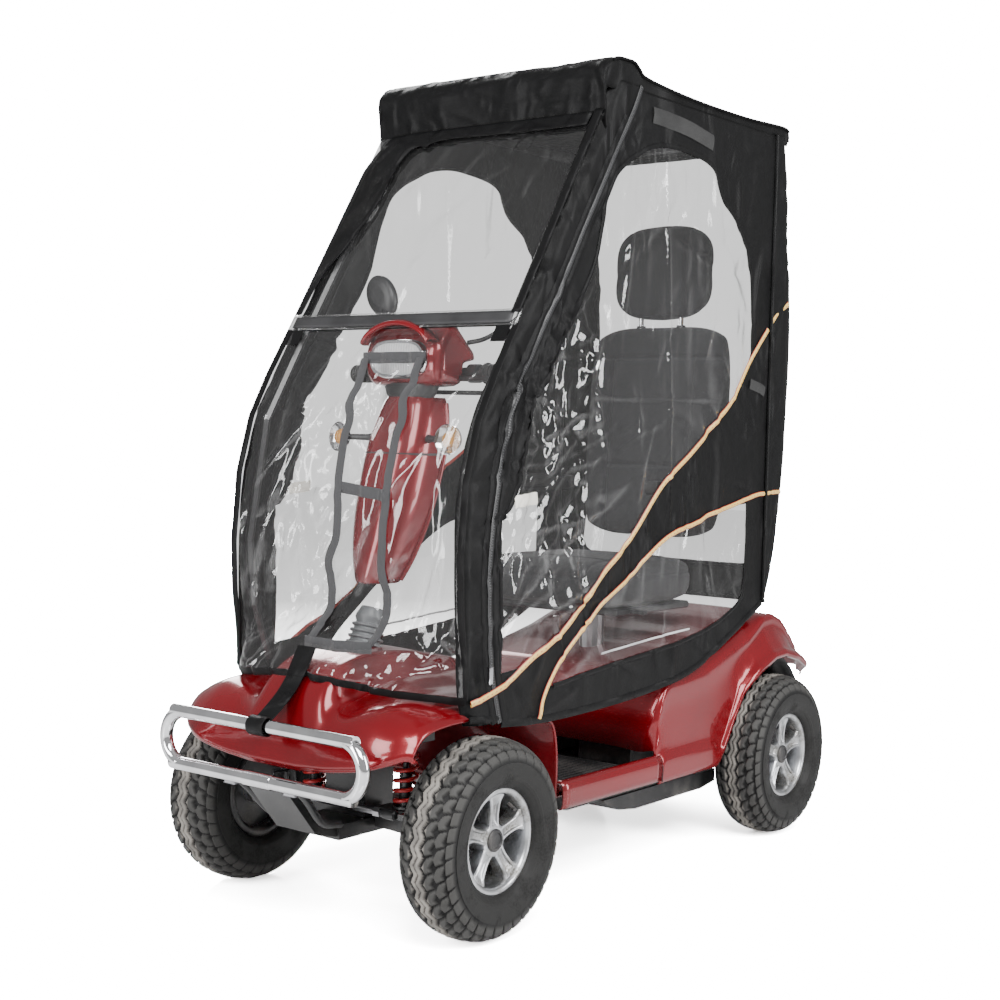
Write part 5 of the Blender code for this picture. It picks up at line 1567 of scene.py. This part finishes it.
def mirrors():
    for side, s in SIDES:
        foot = np.array([s * 0.0865, -0.300, 0.975])
        centre = foot + (s * 0.098, 0.074, 0.088)
        path = curve_through([foot, foot + (s * 0.030, 0.012, 0.008), foot + (s * 0.062, 0.042, 0.036),
                              foot + (s * 0.084, 0.066, 0.066), centre], 36)
        stalk = tube(f"mirror_stalk_{side}", path, 0.0042, BLACK_STEEL, steps=12)

        def oval(depth, scale):
            angles = np.arange(48) * 2 * math.pi / 48
            return [centre + (0.0345 * scale * math.cos(a) + s * 0.010 * scale * math.sin(a), depth,
                              0.007 + 0.0400 * scale * math.sin(a)) for a in angles]

        shell = capped(f"mirror_shell_{side}", [oval(-0.0105, 0.45), oval(-0.0095, 0.70),
                                                oval(-0.006, 0.92), oval(-0.001, 1.0), oval(0.0065, 1.0),
                                                oval(0.0080, 0.97), oval(0.0080, 0.90)], BLACK_PLASTIC)
        glass = capped(f"mirror_glass_{side}", [oval(0.0078, 0.90), oval(0.0086, 0.88), oval(0.0088, 0.80)],
                       MIRROR_GLASS)
        fit(joined(f"mirror_{side}_head", stalk, shell, glass), f"mirror_{side}", f"mirror_{side}")


def hand_controls():
    face = DASH_FACE + DASH_UP * 0.0008
    knob = turned("speed_dial_body", [(0.0, 0.0132), (0.003, 0.0132), (0.0034, 0.0122), (0.010, 0.0112),
                                      (0.0124, 0.0096), (0.0126, 0.004)],
                  face, DASH_UP, BLACK_PLASTIC, 36)
    mark = block("speed_dial_mark", (-0.0008, 0.002, 0.0), (0.0008, 0.010, 0.0010), ALLOY, 0.0003, 2)
    mark.data.transform(Matrix.Translation(face + DASH_UP * 0.0122) @ DASH_TURN)
    fit(joined("speed_dial", knob, mark), "speed_knob", "speed_knob")
    key_at = face + (0.045, 0, 0)
    barrel = turned("key_barrel", [(0.0, 0.0082), (0.0045, 0.0082), (0.006, 0.0070), (0.0062, 0.003)],
                    key_at, DASH_UP, ZINC, 32)
    blade = block("key_blade", (-0.0011, -0.004, 0.004), (0.0011, 0.004, 0.012), ZINC, 0.0004, 2)
    bow = turned("key_bow", [(-0.0016, 0.0080), (0.0016, 0.0080)], (0, 0, 0.0175), (1, 0, 0), BLACK_PLASTIC,
                 28)
    for part in (blade, bow):
        part.data.transform(Matrix.Translation(key_at) @ DASH_TURN)
    fit(joined("key_in_switch", barrel, blade, bow), "ignition_key", "ignition_key")
    horn = turned("horn_push", [(0.0, 0.0090), (0.0036, 0.0090), (0.0048, 0.0076), (0.0050, 0.003)],
                  face + np.array([-0.045, 0, 0]) + DASH_UP * 0.0024, DASH_UP, RUBBER, 32)
    fit(horn, "horn_button", "horn_button")
    wing = [(0.000, -0.303), (0.014, -0.3075), (0.050, -0.296), (0.098, -0.279), (0.109, -0.267),
            (0.1115, -0.254), (0.104, -0.247), (0.094, -0.247), (0.050, -0.260), (0.0, -0.2725)]
    outline = rounded(wing + [(-x, y) for x, y in wing[-2:0:-1]], 0.005, 4)
    paddle = capped("throttle_paddle", [[(x, y, z) for x, y in outline] for z in (0.8852, 0.8922)],
                    BLACK_PLASTIC)
    fit(bevelled(paddle, 0.0016, 3), "throttle_lever", "throttle_lever")
    blade = rounded([(0.0860, -0.3220), (0.0860, -0.3128), (0.100, -0.3128), (0.181, -0.3262),
                     (0.181, -0.3338), (0.150, -0.3310), (0.100, -0.3215)], 0.004, 4)
    lever = capped("brake_handle", [[(x, y, z) for x, y in blade] for z in (0.9072, 0.9168)], BLACK_STEEL)
    fit(bevelled(lever, 0.0018, 3), "brake_lever", "brake_lever")


# ---------------------------------------------------------------- seat


def pad_form(name, low, high, lean, crown, pinch, finish, columns=18, corner=0.0):
    """A crowned cushion form whose sides draw in towards its rounded corners."""
    (x0, y0, z0), (x1, y1, z1) = low, high
    mesh = bpy.data.meshes.new(name)
    made = bpy.data.objects.new(name, mesh)
    bpy.context.collection.objects.link(made)
    bm = bmesh.new()
    bmesh.ops.create_cube(bm, size=2.0)
    bmesh.ops.subdivide_edges(bm, edges=bm.edges[:], cuts=columns, use_grid_fill=True)
    middle = np.array([(x0 + x1) / 2, (y0 + y1) / 2, (z0 + z1) / 2])
    half = np.array([(x1 - x0) / 2, (y1 - y0) / 2, (z1 - z0) / 2])
    for vert in bm.verts:
        x, y, z = vert.co
        away = np.array([x, y, z])
        thin = int(np.argmin(half))
        edge = [k for k in range(3) if k != thin]
        inner = (1 - away[edge[0]] ** 4) * (1 - away[edge[1]] ** 4)
        first, second = away[edge[0]], away[edge[1]]
        away[edge[0]] = first * math.sqrt(1 - corner * second**4)
        away[edge[1]] = second * math.sqrt(1 - corner * first**4)
        place = away * half
        place[thin] *= 1 - crown * (1 - inner)
        for k in edge:
            place[k] *= 1 - pinch * (1
                                     - abs(away[edge[0]]
                                           * away[edge[1]])) * 0.3 - pinch * abs(away[thin]) ** 3
        place = place + middle
        place[1] += lean * (place[2] - z0) / (z1 - z0)
        vert.co = place
    bm.to_mesh(mesh)
    bm.free()
    mesh.materials.append(finish)
    return made


PAD_PRESSURE = 4.0
PAD_VOXEL = 0.0055


def plumped(obj, cap):
    """Fills a pad by cloth simulation, lets no point move further than the cap, and smooths it once."""
    even = obj.modifiers.new("even_mesh", "REMESH")
    even.mode = "VOXEL"
    even.voxel_size = PAD_VOXEL
    applied(obj)
    start = np.array([tuple(v.co) for v in obj.data.vertices])
    cloth = obj.modifiers.new("filling", "CLOTH")
    cloth.settings.use_pressure = True
    cloth.settings.uniform_pressure_force = PAD_PRESSURE
    cloth.settings.quality = 4
    cloth.settings.tension_stiffness = 25
    cloth.settings.bending_stiffness = 4
    cloth.settings.effector_weights.gravity = 0
    cloth.point_cache.frame_start = 1
    cloth.point_cache.frame_end = 20
    scene = bpy.context.scene
    for step in range(1, 21):
        scene.frame_set(step)
    graph = bpy.context.evaluated_depsgraph_get()
    full = np.array([tuple(v.co) for v in obj.evaluated_get(graph).data.vertices])
    obj.modifiers.clear()
    moved = full - start
    length = np.linalg.norm(moved, axis=1)[:, None]
    moved *= np.minimum(1, cap / np.maximum(length, 1e-9))
    obj.data.vertices.foreach_set("co", (start + moved).ravel())
    obj.data.update()
    scene.frame_set(1)
    finer = obj.modifiers.new("smooth_cover", "SUBSURF")
    finer.levels = 1
    finer.render_levels = 1
    applied(obj)
    obj.data.shade_smooth()
    return obj


def grooved(obj, rule):
    """Presses sewn lines into a pad: rule gives how deep at each point, along the point's own normal."""
    mesh = obj.data
    points = np.array([tuple(v.co) for v in mesh.vertices])
    normals = np.array([tuple(v.normal) for v in mesh.vertices])
    mesh.vertices.foreach_set("co", (points - normals * rule(points, normals)[:, None]).ravel())
    mesh.update()
    return obj


def line_press(distance, width=0.0045, depth=0.0045):
    return depth * np.exp(-((distance / width) ** 2))


def seat_pads():
    cushion = plumped(pad_form("cushion_pad", (-0.174, 0.028, 0.4870), (0.174, 0.380, 0.5740), 0.0, 0.22,
                               0.05, SEAT_CLOTH, corner=0.16), 0.006)
    cushion = grooved(cushion, lambda p, n: line_press(np.abs(np.abs(p[:, 0]) - 0.112)) * (n[:, 2] > 0.2)
                      + line_press(p[:, 1] - 0.120) * (n[:, 2] > 0.2) * (np.abs(p[:, 0]) < 0.112)
                      + line_press(p[:, 2] - 0.545, 0.003, 0.003) * (np.abs(n[:, 2]) < 0.75))
    fit(cushion, "seat_carriage", "seat_cushion")

    back = plumped(pad_form("backrest_pad", (-0.176, 0.412, 0.600), (0.178, 0.470, 1.064), 0.034, 0.30,
                            0.04, SEAT_CLOTH, corner=0.20), 0.006)
    back = grooved(back, lambda p, n: line_press(np.abs(np.abs(p[:, 0]) - 0.100)) * (n[:, 1] < -0.2)
                   * (p[:, 2] < 0.99) + line_press(p[:, 2] - 0.760) * (n[:, 1] < -0.2)
                   * (np.abs(p[:, 0]) < 0.100) + line_press(p[:, 2] - 0.990) * (n[:, 1] < -0.2)
                   + line_press(p[:, 1] - 0.452 - 0.068 * (p[:, 2] - 0.60), 0.003, 0.003)
                   * (np.abs(n[:, 1]) < 0.75))
    fit(back, "backrest", "seat_backrest")

    rest = plumped(pad_form("headrest_pad", (-0.116, 0.440, 1.073), (0.119, 0.498, 1.272), 0.006, 0.30,
                            0.05, SEAT_CLOTH, corner=0.34), 0.005)
    rest = grooved(rest, lambda p, n: line_press(p[:, 1] - 0.480, 0.003, 0.003) * (np.abs(n[:, 1]) < 0.75)
                   + line_press(np.abs(np.abs(p[:, 0]) - 0.072), 0.004, 0.003) * (n[:, 1] < -0.2))
    posts = []
    for s in (1, -1):
        posts.append(tube(f"headrest_post_{s}", [(s * 0.05, 0.468, 0.985), (s * 0.05, 0.468, 1.100)],
                          0.0053, CHROME, steps=16))
        posts.append(turned(f"headrest_guide_{s}", [(1.0545, 0.0100), (1.0590, 0.0092), (1.0592, 0.0068)],
                            (s * 0.05, 0.468, 0.0), (0, 0, 1), BLACK_PLASTIC, 20))
    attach(joined("headrest_stems", *posts[0::2]), "headrest")
    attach(joined("headrest_guides", *posts[1::2]), "backrest")
    fit(rest, "headrest", "headrest")


def armrests():
    for side, s in SIDES:
        pad = pad_form(f"armrest_pad_{side}", (s * 0.200 - 0.0135, 0.128, 0.7080),
                       (s * 0.200 + 0.0135, 0.352, 0.7345), 0.0, 0.0, 0.04, RUBBER, 10)
        soft = pad.modifiers.new("soft_edges", "BEVEL")
        soft.width = 0.006
        soft.segments = 4
        applied(pad).data.shade_smooth()
        carrier = rounded([(0.150, 0.7010), (0.150, 0.7090), (0.350, 0.7090), (0.380, 0.7260),
                           (0.4365, 0.7260), (0.4365, 0.7050), (0.400, 0.7010)], 0.006, 4)
        arm = bevelled(capped(f"armrest_arm_{side}",
                              [[(x, y, z) for y, z in carrier]
                               for x in (s * 0.200 - 0.0090, s * 0.200 + 0.0090)], BLACK_STEEL), 0.002)
        boss = turned(f"armrest_boss_{side}", [(-0.0125, 0.0135), (0.0125, 0.0135)],
                      (s * 0.200, 0.4200, 0.7175), (1, 0, 0), BLACK_PLASTIC, 28)
        fit(joined(f"armrest_{side}_soft", pad, arm, boss), f"armrest_{side}", f"armrest_{side}")


# ---------------------------------------------------------------- studio

# How bright the white surround is as a light, to the eye, and through clear film
WORLD_STRENGTH = 0.42
BACKDROP = 18.0
BACKDROP_THROUGH_FILM = 1.35
# Name, place, the point it faces, size, and power in watts
SOFT_BOXES = (
    ("key_box", (2.6, -2.2, 3.4), (0, 0, 0.5), (2.6, 2.0), 250),
    ("front_strip", (-0.6, -3.6, 1.5), (0, -0.3, 0.5), (1.0, 2.6), 110),
    ("rim_strip", (-3.0, 1.8, 2.4), (0, 0, 0.8), (1.0, 2.6), 110),
    ("side_strip", (3.4, 1.0, 1.6), (0, 0.1, 0.6), (1.0, 2.4), 110),
)


def studio():
    half = 14.0
    ground = shape("studio_ground", [(-half, -half, 0), (half, -half, 0), (half, half, 0),
                                     (-half, half, 0)], [(0, 1, 2, 3)],
                   studio_floor(), smooth=False)
    world = bpy.data.worlds.new("studio_world")
    bpy.context.scene.world = world
    world.use_nodes = True
    tree = world.node_tree
    sky = tree.nodes["Background"]
    sky.inputs["Color"].default_value = (1.0, 1.0, 1.0, 1)
    tree.links.new(seen_white(tree, BACKDROP, BACKDROP_THROUGH_FILM, WORLD_STRENGTH),
                   sky.inputs["Strength"])
    for name, place, aim, size, power in SOFT_BOXES:
        lamp = bpy.data.lights.new(name, "AREA")
        lamp.shape = "RECTANGLE"
        lamp.size, lamp.size_y = size
        lamp.energy = power
        obj = bpy.data.objects.new(name, lamp)
        bpy.context.collection.objects.link(obj)
        obj.location = place
        obj.rotation_euler = (Vector(aim) - Vector(place)).to_track_quat("-Z", "Y").to_euler()


def camera():
    azimuth, elevation, roll = math.radians(37.64), math.radians(2.358), math.radians(1.489)
    back = Vector((math.sin(azimuth) * math.cos(elevation), -math.cos(azimuth) * math.cos(elevation),
                   math.sin(elevation)))
    right = Vector((math.cos(azimuth), math.sin(azimuth), 0))
    up = back.cross(right)
    tilted_right = right * math.cos(roll) + up * math.sin(roll)
    tilted_up = up * math.cos(roll) - right * math.sin(roll)
    eye = bpy.data.cameras.new("main_camera")
    eye.lens = 57.629
    eye.sensor_width = 36
    obj = bpy.data.objects.new("main_camera", eye)
    bpy.context.collection.objects.link(obj)
    turn = Matrix((tilted_right, tilted_up, back)).transposed().to_4x4()
    obj.matrix_world = Matrix.Translation((1.8473, -2.4793, 0.8174)) @ turn
    bpy.context.scene.camera = obj


camera()
studio()
wheels()
bumper_hoop()
coil_springs()
track_rod()
hidden_gear()
nose_and_fenders()
footwell_floor()
rear_shell()
rear_lamp()
tiller_column()
column_boot()
control_head()
head_lamp()
turn_signals()
handlebar()
mirrors()
hand_controls()
seat_pads()
armrests()
for side, s in SIDES:
    canopy_side(side, s)
roof()
rear_wall()
front_curtain()
windscreen()
hold_down()
